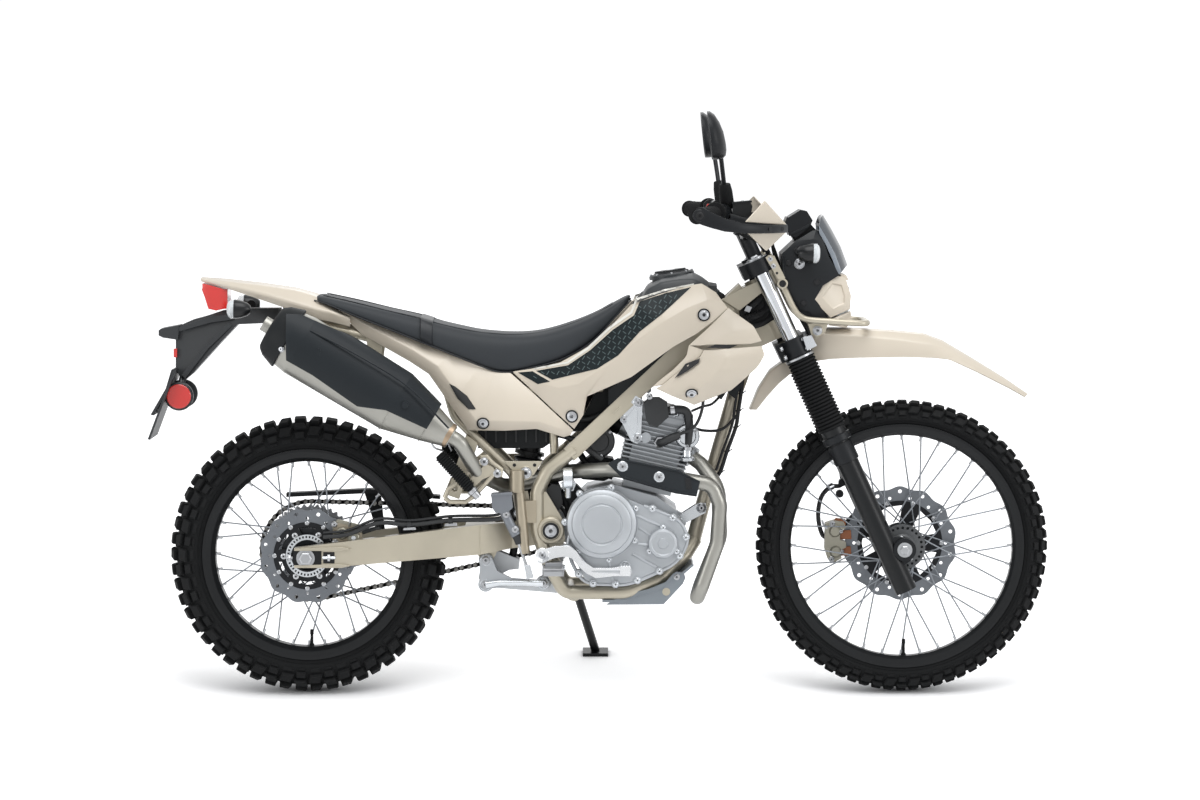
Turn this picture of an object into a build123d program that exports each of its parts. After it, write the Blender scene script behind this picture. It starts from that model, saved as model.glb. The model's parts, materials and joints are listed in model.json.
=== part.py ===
"""Dual sport motorcycle, parked on its side stand.

Everything is drawn upright in the machine's own frame, in millimetres: X forward from the rear
axle's design place, Y to the rider's left, Z up from the ground. The whole machine is then leaned
onto its side stand and moved so that the origin is under the middle of its overall box.
"""
from build123d import *

from math import acos, atan2, cos, hypot, pi, radians, sin, tan
import os

# ---------------------------------------------------------------- driving dimensions
LEAN = 10.0                # parked lean towards the side stand, degrees

FRONT_TYRE_R = 337.0       # outer radius, over the lugs
FRONT_TYRE_HALF = 40.0     # half of the section's width
FRONT_CROWN_R = 42.0       # radius of the tread across the section
FRONT_RIM_R = 281.0        # over the rim's flanges
FRONT_RIM_DEPTH = 26.0     # flange edge to the well's underside
FRONT_RIM_HALF = 26.0
REAR_TYRE_R = 318.0
REAR_TYRE_HALF = 55.0
REAR_CROWN_R = 58.0
REAR_RIM_R = 243.0
REAR_RIM_DEPTH = 29.0
REAR_RIM_HALF = 36.0
SPOKES = 36                # per wheel
SPOKE_R = 1.7

PIVOT_X = 559.0            # swingarm pivot
PIVOT_Z = 382.0
SWINGARM_REACH = 559.0     # pivot to rear axle, along X
CASTER = 24.6              # steering axis from the vertical, degrees
HEAD_X = 1055.0            # where the steering axis crosses the middle of the head tube
HEAD_Z = 887.0
CLAMP_OFFSET = 18.0        # fork tubes ahead of the steering axis
AXLE_LEAD = 35.0           # front axle ahead of the fork tubes
FORK_HALF = 95.0           # fork tubes from the middle
FORK_TUBE_R = 18.5
BOOT_R = 33.0
SLIDER_R = 25.0

AXLE_R = 7.5
RUN_GAP = 0.3              # running gap round a turning hub
SEAT_GAP = 0.3             # gap between pieces that seat on each other
PANEL_T = 3.5              # moulded panel walls

SPAR_HALF = 108.0          # frame spars from the middle, at the pivot
SPAR_H = 36.0
SPAR_W = 26.0
CRADLE_R = 16.0            # lower frame tubes
DOWN_TUBE_R = 17.0

CRANK_HALF = 105.0         # engine cases, half width under the side covers
CYL_TILT = 13.0            # cylinder leans forward, degrees
CYL_X = 776.0              # cylinder axis at the crankcase joint
CYL_Z = 462.0

HEADER_R = 17.0
MUFFLER_Y = -166.0
BAR_R = 11.1               # 22.2 mm handlebar
BAR_HALF = 402.0

DISC_T = 4.0
FRONT_DISC_R = 132.0
REAR_DISC_R = 110.0
CHAIN_Y = 70.0
SPROCKET_R = 108.0         # over the teeth
DRIVE_SPROCKET_R = 32.0
CHAIN_H = 12.0

STAND_PIVOT = (612.0, 146.0, 222.0)
STAND_FOOT_X = 660.0
STAND_FOOT_Y = 290.0

# ---------------------------------------------------------------- places worked out from them
REAR_AXLE = Vector(PIVOT_X - SWINGARM_REACH, 0, REAR_TYRE_R)
_ca, _sa = cos(radians(CASTER)), sin(radians(CASTER))
STEER_UP = Vector(-_sa, 0, _ca)
STEER_AHEAD = Vector(_ca, 0, _sa)
AXLE_OFFSET = CLAMP_OFFSET + AXLE_LEAD
# distance down the steering axis from the head to the front axle's level
AXLE_DROP = (HEAD_Z + AXLE_OFFSET * _sa - FRONT_TYRE_R) / _ca
HEAD = Vector(HEAD_X, 0, HEAD_Z)
FORK_FOOT = HEAD - STEER_UP * AXLE_DROP
FRONT_AXLE = FORK_FOOT + STEER_AHEAD * AXLE_OFFSET
LIFT = REAR_CROWN_R * (1 - cos(radians(LEAN)))


# ---------------------------------------------------------------- helpers
def prism(outline, y_from, y_to):
    """An (x, z) outline as a solid between two lateral planes."""
    low, high = min(y_from, y_to), max(y_from, y_to)
    face = make_face(Polyline(*[(x, low, z) for x, z in outline], close=True))
    return extrude(face, amount=high - low, dir=(0, 1, 0))


def section(x, half):
    """A symmetric cross-section at x from (half width, z) points, bottom to top."""
    points = [(x, -w, z) for w, z in half] + [(x, w, z) for w, z in reversed(half)]
    return make_face(Polyline(*points, close=True))


def lofted(rows):
    """A ruled body through symmetric cross-sections: rows of (x, [(half width, z), ...])."""
    return loft([section(x, half) for x, half in rows], ruled=True)


def thinner(rows, wall, drop=0.0):
    """The same rows with every half width a wall smaller and every z lower by drop."""
    return [(x, [(max(w - wall, 1.0), z - drop) for w, z in half]) for x, half in rows]


def rod(start, end, radius):
    start, end = Vector(start), Vector(end)
    span = end - start
    return Solid.make_cylinder(radius, span.length, Plane(origin=start, z_dir=span))


def tube(points, radius, bend):
    """A round bar along straight runs joined by arcs."""
    path = FilletPolyline(*points, radius=bend)
    start = Plane(origin=path @ 0, z_dir=path % 0)
    return sweep(start * Circle(radius), path=path)


def drum(centre, radius, y_from, y_to):
    """A cylinder along Y about a wheel's axle or any point."""
    return rod((centre.X, y_from, centre.Z), (centre.X, y_to, centre.Z), radius)


def ring(centre, outer, inner, y_from, y_to):
    return drum(centre, outer, y_from, y_to) - drum(centre, inner, y_from, y_to)


def turned(centre, profile):
    """A (radius, y) outline turned about the axle."""
    face = make_face(Polyline(*[(centre.X + r, y, centre.Z) for r, y in profile], close=True))
    return revolve(face, axis=Axis((centre.X, 0, centre.Z), (0, 1, 0)))


def mirrored(shape):
    return mirror(shape, about=Plane.XZ)


def both(shape):
    """The right-hand piece and its left-hand twin, as separate solids."""
    return Compound(children=[*shape.solids(), *mirrored(shape).solids()])


def group(*shapes):
    solids = []
    for shape in shapes:
        solids += list(shape.solids())
    return Compound(children=solids)


def fork(up, ahead, side=0.0):
    """A point in the steering frame: up the axis from the axle's level, ahead of it, sideways."""
    return FORK_FOOT + STEER_UP * up + STEER_AHEAD * ahead + Vector(0, side, 0)


def fork_prism(outline, y_from, y_to):
    """An (up, ahead) outline of the steering frame as a solid between two lateral planes."""
    points = [fork(up, ahead) for up, ahead in outline]
    return prism([(p.X, p.Z) for p in points], y_from, y_to)


# heights on the steering axis, measured up from the axle's level
SLIDER_BOTTOM, SLIDER_TOP = -89.0, 319.0
BOOT_TOP = 498.0
LOWER_CLAMP = (502.0, 545.0)
UPPER_CLAMP = (708.0, 742.0)
HEAD_TUBE = (LOWER_CLAMP[1] + 8.0, UPPER_CLAMP[0] - 8.0)
STEM_R = 12.0
HEAD_TUBE_R = 26.0


# ---------------------------------------------------------------- wheels
LUG_SINK = 1.0     # flat block tops lie this far inside the tyre's round outline, so that no corner leaves it
LUG_FOOT = 5.0     # how far a block runs on into the carcass
LUG_SHARE = 0.42   # of a pitch, along the tread
WALL_SHARE = 0.63  # of the block depth, outside the tyre's wall
# block rows: degrees round the section, half width, share of the depth, offset in pitches
FRONT_ROWS = ((0, 12.5, 1.0, 0.0), (55, 9.0, 0.9, 0.5), (-55, 9.0, 0.9, 0.5))
FRONT_TREAD = dict(depth=8.5, pitches=36, rows=FRONT_ROWS)
REAR_ROWS = ((0, 15.5, 1.0, 0.0), (50, 11.0, 0.85, 0.5), (-50, 11.0, 0.85, 0.5))
REAR_TREAD = dict(depth=13.6, pitches=27, rows=REAR_ROWS)


def tread_blocks(centre, radius, crown, depth, pitches, rows):
    """The blocks of a tyre's tread."""
    blocks = []
    pitch = 2 * pi / pitches
    for lean_deg, half_width, part_depth, offset in rows:
        rise, aside = cos(radians(lean_deg)), sin(radians(lean_deg))
        reach = radius - crown + (crown - LUG_SINK) * rise
        for n in range(pitches):
            turn = (n + offset) * pitch
            out = Vector(cos(turn) * rise, aside, sin(turn) * rise)
            top = centre + Vector(reach * cos(turn), (crown - LUG_SINK) * aside, reach * sin(turn))
            plane = Plane(origin=top, x_dir=Vector(-sin(turn), 0, cos(turn)), z_dir=out)
            face = plane * Rectangle(LUG_SHARE * pitch * radius, 2 * half_width)
            blocks.append(extrude(face, amount=-(depth * part_depth + LUG_FOOT)))
    return blocks


def flat_sided(centre, section, count):
    """A closed section of radius and y, carried round an axle in straight stretches."""
    rings = []
    for n in range(count):
        turn = 2 * pi * (n + 0.5) / count
        rings.append([Vector(centre.X + r * cos(turn), y, centre.Z + r * sin(turn)) for r, y in section])
    faces = []
    for near, far in zip(rings, rings[1:] + rings[:1]):
        for k in range(len(section)):
            after = (k + 1) % len(section)
            faces.append(Face(Wire.make_polygon([near[k], near[after], far[after], far[k]])))
    return Solid(Shell(faces))


def tyre(centre, radius, half, crown, rim_r, rim_half, tread):
    """A closed tyre section, bead between the rim flanges, with the blocks of its tread fused on."""
    wall = half - tread["depth"] * WALL_SHARE
    bead = (rim_r - 15) / cos(pi / tread["pitches"])
    section = [(bead, rim_half - 6), (rim_r + 2.5, rim_half - 6), (radius - crown + 2, wall),
               (radius - tread["depth"], tread["rows"][0][1] + 1.5)]
    body = flat_sided(centre, section + [(r, -y) for r, y in reversed(section)], tread["pitches"])
    return body.fuse(*tread_blocks(centre, radius, crown, **tread))


def rim(centre, rim_r, depth, half):
    """A drop-centre rim: two flanges, bead seats and the well."""
    bead = rim_r - 15.0 - SEAT_GAP
    well = rim_r - depth
    inside = half - 6.0 + SEAT_GAP
    return turned(centre, [
        (rim_r, half), (rim_r, inside), (bead, inside), (bead - 4, half * 0.55), (well + 3, half * 0.4),
        (well + 3, -half * 0.4), (bead - 4, -half * 0.55), (bead, -inside), (rim_r, -inside),
        (rim_r, -half), (rim_r - 6, -half), (bead - 4, -half + 3), (well, -half * 0.5),
        (well, half * 0.5), (bead - 4, half - 3), (rim_r - 6, half),
    ])


def spokes(centre, flange_r, flange_half, rim_inner, cross_deg):
    """Crossed wire spokes in pairs, from the hub's flanges to the rim's well."""
    wires = []
    step = 360.0 / (SPOKES / 2)
    for n in range(SPOKES // 2):
        for side in (-1, 1):
            at_rim = radians(n * step + (step / 2 if side > 0 else 0))
            lead = radians(cross_deg if n % 2 else -cross_deg)
            inner = flange_r + SPOKE_R
            outer = rim_inner - 1.2
            y_rim = side * 4.0
            y_hub = side * (flange_half + (2.2 if n % 2 else -2.2))
            start = (centre.X + inner * cos(at_rim + lead), y_hub, centre.Z + inner * sin(at_rim + lead))
            end = (centre.X + outer * cos(at_rim), y_rim, centre.Z + outer * sin(at_rim))
            wires.append(rod(start, end, SPOKE_R))
    return Compound(children=wires)


def hub(centre, barrel, flange_r, flange_half, half):
    """A hub barrel with two spoke flanges, bored to run on the axle."""
    bore = AXLE_R + RUN_GAP
    return turned(centre, [
        (bore, -half), (barrel, -half), (barrel, -flange_half - 4), (flange_r, -flange_half - 2.5),
        (flange_r, -flange_half + 2.5), (barrel + 4, -flange_half + 6), (barrel, 0),
        (barrel + 4, flange_half - 6), (flange_r, flange_half - 2.5), (flange_r, flange_half + 2.5),
        (barrel, flange_half + 4), (barrel, half), (bore, half),
    ])


LOBE_DIP = 6.0      # depth of the dips between a disc's lobes
# share of a lobe's pitch, share of the dip's depth
LOBE_SHAPE = ((0.0, 1.0), (0.12, 0.75), (0.24, 0.15), (0.4, 0.0), (0.6, 0.0), (0.76, 0.15), (0.88, 0.75))
DISC_HOLE_R = 4.5
DISC_HOLE_IN = 12.0   # from the edge to a hole's centre


def lobed(centre, radius, lobes, y):
    """A plate with an edge of rounded lobes, each pierced by a hole."""
    outline = []
    for n in range(lobes):
        for share, dip in LOBE_SHAPE:
            turn = 2 * pi * (n + share) / lobes
            outline.append((centre.X + (radius - LOBE_DIP * dip) * cos(turn),
                            centre.Z + (radius - LOBE_DIP * dip) * sin(turn)))
    plate = prism(outline, y - DISC_T / 2, y + DISC_T / 2)
    holes = []
    for n in range(lobes):
        turn = 2 * pi * (n + 0.5) / lobes
        reach = radius - DISC_HOLE_IN
        at = Vector(centre.X + reach * cos(turn), 0, centre.Z + reach * sin(turn))
        holes.append(drum(at, DISC_HOLE_R, y - DISC_T, y + DISC_T))
    return plate.cut(*holes)


def disc(centre, radius, band, y, barrel, arms, lobes):
    """A brake disc: a lobed, pierced ring on an arm-like carrier round the hub."""
    plate = lobed(centre, radius, lobes, y) - drum(centre, radius - band, y - DISC_T, y + DISC_T)
    carrier = ring(centre, barrel + 16, barrel + SEAT_GAP, y - DISC_T / 2, y + DISC_T / 2)
    for n in range(arms):
        turn = 2 * pi * n / arms
        a = Vector(centre.X + (barrel + 10) * cos(turn), y - DISC_T / 2, centre.Z + (barrel + 10) * sin(turn))
        out = Vector(cos(turn), 0, sin(turn))
        across = Vector(-sin(turn), 0, cos(turn))
        reach = radius - band + 4 - (barrel + 10)
        pts = [a + across * 9, a + out * reach + across * 6, a + out * reach - across * 6, a - across * 9]
        face = make_face(Polyline(*pts, close=True))
        carrier += extrude(face, amount=DISC_T, dir=(0, 1, 0))
    return plate + carrier


FRONT_HUB = dict(barrel=20.0, flange_r=50.0, flange_half=30.0, half=58.0)
REAR_HUB = dict(barrel=26.0, flange_r=62.0, flange_half=34.0, half=60.0)
FRONT_DISC_Y = 52.0
REAR_DISC_Y = -56.0


def front_wheel():
    return {
        "front_tyre": tyre(FRONT_AXLE, FRONT_TYRE_R, FRONT_TYRE_HALF, FRONT_CROWN_R, FRONT_RIM_R,
                           FRONT_RIM_HALF, FRONT_TREAD),
        "front_rim": rim(FRONT_AXLE, FRONT_RIM_R, FRONT_RIM_DEPTH, FRONT_RIM_HALF),
        "front_hub": group(hub(FRONT_AXLE, **FRONT_HUB),
                           spokes(FRONT_AXLE, FRONT_HUB["flange_r"] + SEAT_GAP, FRONT_HUB["flange_half"],
                                  FRONT_RIM_R - FRONT_RIM_DEPTH, 38.0)),
        "front_disc": disc(FRONT_AXLE, FRONT_DISC_R, 32.0, FRONT_DISC_Y, FRONT_HUB["barrel"], 5, 14),
    }


SPROCKET_TEETH = 42
TOOTH_H = 6.0


def toothed(centre, radius):
    """A sprocket plate with its teeth."""
    outline = []
    for n in range(SPROCKET_TEETH):
        for share, drop in ((0.1, TOOTH_H), (0.4, 0.0), (0.6, 0.0), (0.9, TOOTH_H)):
            turn = 2 * pi * (n + share) / SPROCKET_TEETH
            outline.append((centre.X + (radius - drop) * cos(turn), centre.Z + (radius - drop) * sin(turn)))
    return prism(outline, CHAIN_Y - 2.5, CHAIN_Y + 2.5)


def rear_wheel():
    sprocket = toothed(REAR_AXLE, SPROCKET_R) - drum(REAR_AXLE, REAR_HUB["barrel"] + SEAT_GAP, 0, 2 * CHAIN_Y)
    sprocket -= ring(REAR_AXLE, SPROCKET_R - 18, 60, CHAIN_Y - 5, CHAIN_Y + 5) & spoke_windows(REAR_AXLE, 6)
    hub_half = dict(REAR_HUB, half=CHAIN_Y + 4)
    return {
        "rear_tyre": tyre(REAR_AXLE, REAR_TYRE_R, REAR_TYRE_HALF, REAR_CROWN_R, REAR_RIM_R, REAR_RIM_HALF,
                          REAR_TREAD),
        "rear_rim": rim(REAR_AXLE, REAR_RIM_R, REAR_RIM_DEPTH, REAR_RIM_HALF),
        "rear_hub": group(hub(REAR_AXLE, **hub_half),
                          spokes(REAR_AXLE, REAR_HUB["flange_r"] + SEAT_GAP, REAR_HUB["flange_half"],
                                 REAR_RIM_R - REAR_RIM_DEPTH, 42.0)),
        "rear_disc": disc(REAR_AXLE, REAR_DISC_R, 30.0, REAR_DISC_Y, REAR_HUB["barrel"], 6, 12),
        "rear_sprocket": sprocket,
    }


def spoke_windows(centre, count):
    """Wedges round an axle, for the windows between a sprocket's arms."""
    wedges = None
    for n in range(count):
        a, b = 2 * pi * n / count, 2 * pi * (n + 0.6) / count
        pts = [(centre.X, centre.Z)]
        pts += [(centre.X + 200 * cos(t), centre.Z + 200 * sin(t)) for t in (a, (a + b) / 2, b)]
        wedge = prism(pts, CHAIN_Y - 6, CHAIN_Y + 6)
        wedges = wedge if wedges is None else wedges + wedge
    return wedges


# ---------------------------------------------------------------- frame and rear suspension
SPAR_TOP = (1000.0, 26.0, 926.0)
SPAR_FOOT = (604.0, SPAR_HALF, 558.0)


def spar(side, grow=0.0):
    """One rectangular spar from the head gusset down to the pivot tubes."""
    a = Vector(SPAR_TOP[0], side * SPAR_TOP[1], SPAR_TOP[2])
    b = Vector(SPAR_FOOT[0], side * SPAR_FOOT[1], SPAR_FOOT[2])
    run = b - a
    plane = Plane(origin=a, x_dir=(0, 1, 0), z_dir=run)
    return extrude(plane * Rectangle(SPAR_W + 2 * grow, SPAR_H + 2 * grow), amount=run.length + 6)


def spar_top_z(x):
    """Height of the spars' upper face at a station."""
    slope = (SPAR_TOP[2] - SPAR_FOOT[2]) / (SPAR_TOP[0] - SPAR_FOOT[0])
    return SPAR_FOOT[2] + slope * (x - SPAR_FOOT[0]) + SPAR_H / 2 * (1 + slope ** 2) ** 0.5


def cradle_tube(side, grow=0.0):
    y = side * SPAR_HALF
    y_low = side * (SPAR_HALF - 12)
    loop = [(612, y, 566), (552, y, 518), (528, y, 472), (528, y, 380), (556, y, 300), (590, y_low, 238),
            (730, y_low, 238), (806, side * 70, 262), (868, side * 20, 318), (890, side * 6, 352)]
    return tube(loop, CRADLE_R + grow, [40, 40, 60, 70, 28, 60, 40, 30])


def down_tube(grow=0.0):
    return tube([(1040, 0, 850), (982, 0, 690), (906, 0, 425), (884, 0, 342)], DOWN_TUBE_R + grow, [80, 80])


STAND_EYE_HALF = 8.0
STAND_EYE_R = 18.0
STAND_FOLDED = (-0.985, 0.15, 0.085)   # the way the leg points once it is folded


def ground_z(y, height=0.0):
    """Height, in the upright machine, of a point that stands height above the floor once leaned."""
    return y * tan(radians(LEAN)) - (LIFT - height) / cos(radians(LEAN))


def stand_line():
    """Pivot and foot of the side stand, and the slanted axis that carries the leg from down to back."""
    pivot = Vector(*STAND_PIVOT)
    foot = Vector(STAND_FOOT_X, STAND_FOOT_Y, ground_z(STAND_FOOT_Y, 8))
    return pivot, foot, (foot - pivot).cross(Vector(*STAND_FOLDED)).normalized()


def stand_bracket():
    """Boss under the left lower tube, square to the stand's axis, and its web to the tube."""
    pivot, _, axis = stand_line()
    face = pivot - axis * (STAND_EYE_HALF + SEAT_GAP)
    boss = rod(face, face - axis * 18, STAND_EYE_R - 2)
    web = rod(face - axis * 10, (pivot.X - 3, SPAR_HALF + 2, 238), 10)
    return boss + (web - rod(face, face + axis * 60, STAND_EYE_R + 8))


CLAMP_SWING = 62.0   # reach behind the stem that the lower clamp sweeps at full lock


def main_frame():
    head = rod(fork(HEAD_TUBE[0], 0), fork(HEAD_TUBE[1], 0), HEAD_TUBE_R)
    back_top, back_low = fork(HEAD_TUBE[1] - 6, -8), fork(HEAD_TUBE[0] + 4, -8)
    gusset = prism([(back_top.X, back_top.Z), (back_low.X, back_low.Z), (1030, 770), (985, 700),
                    (965, 760), (960, 850), (985, 925)], -22, 22)
    body = head + gusset + down_tube()
    for side in (-1, 1):
        y = side * SPAR_HALF
        body += spar(side)
        body += cradle_tube(side)
        body += prism([(512, 470), (548, 470), (584, 410), (592, 360), (570, 320), (540, 330), (512, 400)],
                      y - side * 8, y + side * 6)
        body += rod((PIVOT_X, y - side * 14, PIVOT_Z), (PIVOT_X, y + side * 18, PIVOT_Z), 27)
    body += rod((546, -SPAR_HALF, 446), (546, SPAR_HALF, 446), 12)
    body += rod((600, -SPAR_HALF + 12, 238), (600, SPAR_HALF - 12, 238), 13)
    body += stand_bracket()
    body -= drum(Vector(PIVOT_X, 0, PIVOT_Z), AXLE_R + SEAT_GAP, -200, 200)
    body -= fork_prism([(LOWER_CLAMP[0] - 3, -CLAMP_SWING), (HEAD_TUBE[0], -CLAMP_SWING), (HEAD_TUBE[0], 50),
                        (LOWER_CLAMP[0] - 3, 50)], -60, 60)
    body -= rod(fork(HEAD_TUBE[0] - 9, 0), fork(HEAD_TUBE[1] + 9, 0), STEM_R + RUN_GAP)
    return body


RAIL_HALF = 88.0
RAIL_R = 11.0


def rail(side, grow=0.0):
    """Seat rail: from the spar, level under the seat's front, then rising to the tail."""
    points = [(676, side * 74, 706), (560, side * RAIL_HALF, 700), (450, side * RAIL_HALF, 700),
              (300, side * RAIL_HALF, 780), (-60, side * 62, 872)]
    return tube(points, RAIL_R + grow, [80, 80, 120])


def strut(side, grow=0.0):
    points = [(300, side * 90, 778), (340, side * 94, 640), (474, side * 94, 508), (488, side * 94, 430)]
    return tube(points, RAIL_R + grow, [40, 40])


def subframe():
    """Seat rails and the lower struts of the rear frame, one welded piece."""
    body = None
    for side in (-1, 1):
        upright = rod((560, side * RAIL_HALF, 700), (566, side * 86, 556), 9)
        foot_ear = prism([(476, 470), (506, 470), (514, 432), (482, 420)], side * 92, side * 99)
        tie_ear = prism([(366, 600), (392, 580), (350, 452), (322, 462)], side * 99, side * 105)
        hanger = prism([(138, 828), (176, 818), (166, 738), (146, 738)], side * 80, side * 88)
        for piece in (rail(side), strut(side), upright, foot_ear, tie_ear, hanger):
            body = piece if body is None else body + piece
        body -= drum(Vector(TIE_DOWN[0], 0, TIE_DOWN[1]), TIE_DOWN_R, side * 98, side * 106)
    for x, z, half in ((480, 700, RAIL_HALF), (300, 780, RAIL_HALF), (20, 851, 68)):
        body += rod((x, -half, z), (x, half, z), 9)
    for side in (-1, 1):
        body -= cradle_tube(side, SEAT_GAP)
        body -= spar(side, SEAT_GAP)
    return body


TIE_DOWN = (340.0, 476.0)
TIE_DOWN_R = 7.0


def swingarm():
    rows = [  # x, inner y, outer y, low z, high z
        (-26, 88, 114, 295, 341), (60, 84, 114, 297, 352), (398, 84, 114, 326, 394),
        (470, 58, 86, 338, 398), (574, 56, 84, 352, 402)]
    body = None
    for side in (-1, 1):
        faces = []
        for x, y_in, y_out, z_lo, z_hi in rows:
            pts = [(x, side * y, z) for y, z in ((y_in, z_lo), (y_out, z_lo), (y_out, z_hi), (y_in, z_hi))]
            faces.append(make_face(Polyline(*pts, close=True)))
        arm = loft(faces, ruled=True)
        body = arm if body is None else body + arm
        body += drum(Vector(PIVOT_X, 0, PIVOT_Z), 23, side * 54, side * 86)
    body += prism([(362, 332), (430, 338), (430, 394), (362, 388)], -86, 86)
    body -= drum(Vector(PIVOT_X, 0, PIVOT_Z), AXLE_R + SEAT_GAP, -100, 100)
    for side in (-1, 1):
        body -= prism([(-14, 304), (26, 304), (26, 332), (-14, 332)], side * 80, side * 120)
    return body


def axles():
    rear = drum(REAR_AXLE, AXLE_R, -124, 124)
    heads = drum(REAR_AXLE, 14, -124, -119 + 0.0) + drum(REAR_AXLE, 14, 119, 124)
    blocks = None
    for side in (-1, 1):
        block = prism([(-13.7, 304.3), (20, 304.3), (20, 331.7), (-13.7, 331.7)], side * 86, side * 117)
        blocks = block if blocks is None else blocks + block
    spacers = ring(REAR_AXLE, 13, AXLE_R - 1, -86, -CHAIN_Y - 4 - RUN_GAP) + ring(
        REAR_AXLE, 13, AXLE_R - 1, CHAIN_Y + 4 + RUN_GAP, 86)
    pivot = drum(Vector(PIVOT_X, 0, PIVOT_Z), AXLE_R, -130, 130)
    pivot += drum(Vector(PIVOT_X, 0, PIVOT_Z), 15, -134, -SPAR_HALF - 18.3)
    pivot += drum(Vector(PIVOT_X, 0, PIVOT_Z), 15, SPAR_HALF + 18.3, 134)
    return group(rear + heads + blocks + spacers, pivot)


SHOCK_LOW = Vector(468, 0, 300)
SHOCK_HIGH = Vector(520, 0, 618)


def shock():
    """Coil-over damper between the linkage and a lug under the seat rails' cross tube."""
    run = (SHOCK_HIGH - SHOCK_LOW).normalized()
    body = rod(SHOCK_LOW + run * 8, SHOCK_LOW + run * 120, 9)
    body += rod(SHOCK_LOW + run * 110, SHOCK_HIGH - run * 8, 24)
    coils = 8
    start, end = 60.0, 250.0
    pitch = (end - start) / coils
    body += rod(SHOCK_LOW + run * (start - 8), SHOCK_LOW + run * start, 34)
    for n in range(coils):
        ring_at = SHOCK_LOW + run * (start + (n + 0.5) * pitch)
        body += Solid.make_torus(28, 5.5, Plane(origin=ring_at, z_dir=run))
    body += rod(SHOCK_LOW + run * start, SHOCK_LOW + run * end, 25)
    body += rod(SHOCK_LOW + run * end, SHOCK_LOW + run * (end + 8), 34)
    body += drum(SHOCK_LOW, 13, -14, 14)
    body += drum(SHOCK_HIGH, 13, -14, 14)
    body -= drum(SHOCK_LOW, 5.3, -20, 20)
    return body


def linkage():
    """Rocker under the swingarm's cross tube and the pull link to the frame's lower cross tube."""
    rocker = None
    for side in (-1, 1):
        plate = prism([(400, 330), (424, 330), (486, 306), (484, 284), (462, 282), (400, 250), (392, 262)],
                      side * 16, side * 24)
        rocker = plate if rocker is None else rocker + plate
        rocker += prism([(404, 262), (404, 244), (590, 228), (590, 250)], side * 25, side * 33)
    rocker += drum(SHOCK_LOW, 5, -24, 24)
    rocker += drum(Vector(402, 0, 256), 8, -33, 33)
    rocker += drum(Vector(412, 0, 320), 9, -24, 24)
    rocker -= drum(Vector(600, 0, 238), 13 + SEAT_GAP, -60, 60)
    rocker -= prism([(362, 332 - SEAT_GAP), (430, 338 - SEAT_GAP), (430, 394), (362, 388)], -86, 86)
    return rocker


# ---------------------------------------------------------------- engine and exhaust
CYL_UP = Vector(sin(radians(CYL_TILT)), 0, cos(radians(CYL_TILT)))
CYL_FORE = Vector(cos(radians(CYL_TILT)), 0, -sin(radians(CYL_TILT)))
CYL_FOOT = Vector(CYL_X, 0, CYL_Z)


def cyl(up, fore, side=0.0):
    return CYL_FOOT + CYL_UP * up + CYL_FORE * fore + Vector(0, side, 0)


def cyl_prism(outline, y_from, y_to):
    """An (up, fore) outline along the cylinder as a solid between two lateral planes."""
    points = [cyl(up, fore) for up, fore in outline]
    return prism([(p.X, p.Z) for p in points], y_from, y_to)


CLUTCH = Vector(675, 0, 400)
STARTER_COVER = Vector(814, 0, 355)


def crankcase():
    case = prism([(606, 330), (606, 440), (640, 474), (700, 486), (742, 474), (800, 458), (846, 425),
                  (854, 380), (848, 345), (815, 300), (735, 260), (640, 260)], -CRANK_HALF, CRANK_HALF)
    for side in (-1, 1):
        case -= prism([(828, 372), (828, 445), (880, 445), (880, 372)],
                      side * DOWN_TUBE_R, side * (DOWN_TUBE_R + 6))
    case += prism([(834, 425), (872, 405), (868, 385), (846, 372)], -DOWN_TUBE_R, DOWN_TUBE_R)
    case += prism([(610, 440), (559, 402), (542, 382), (559, 362), (610, 340)], -50, 50)
    case -= drum(Vector(PIVOT_X, 0, PIVOT_Z), AXLE_R + SEAT_GAP, -60, 60)
    right = [(612, 330), (606, 400), (640, 452), (700, 470), (770, 440), (852, 408), (870, 362),
             (846, 312), (735, 262), (640, 262)]
    case += prism(right, -CRANK_HALF - 30, -CRANK_HALF)
    case += drum(CLUTCH, 78, -CRANK_HALF - 52, -CRANK_HALF - 28)
    case += drum(CLUTCH, 66, -CRANK_HALF - 60, -CRANK_HALF - 50)
    case += drum(STARTER_COVER, 31, -CRANK_HALF - 48, -CRANK_HALF - 28)
    case += drum(Vector(770, 0, 362), 84, CRANK_HALF, CRANK_HALF + 42)
    # the drive sprocket's bay on the left, open to the rear
    case -= prism([(590, 318), (590, 446), (672, 446), (690, 400), (690, 350), (672, 318)],
                  CHAIN_Y - 14, CRANK_HALF + 1)
    case += drum(DRIVE, DRIVE_SPROCKET_R - 1, CHAIN_Y - 3, CHAIN_Y + 3)
    case += drum(DRIVE, 12, CHAIN_Y - 15, CHAIN_Y + 8)
    case += prism([(628, 300), (616, 380), (640, 440), (760, 452), (760, 275), (660, 275)],
                  CRANK_HALF - 12, CRANK_HALF + 20)
    return case


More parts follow.
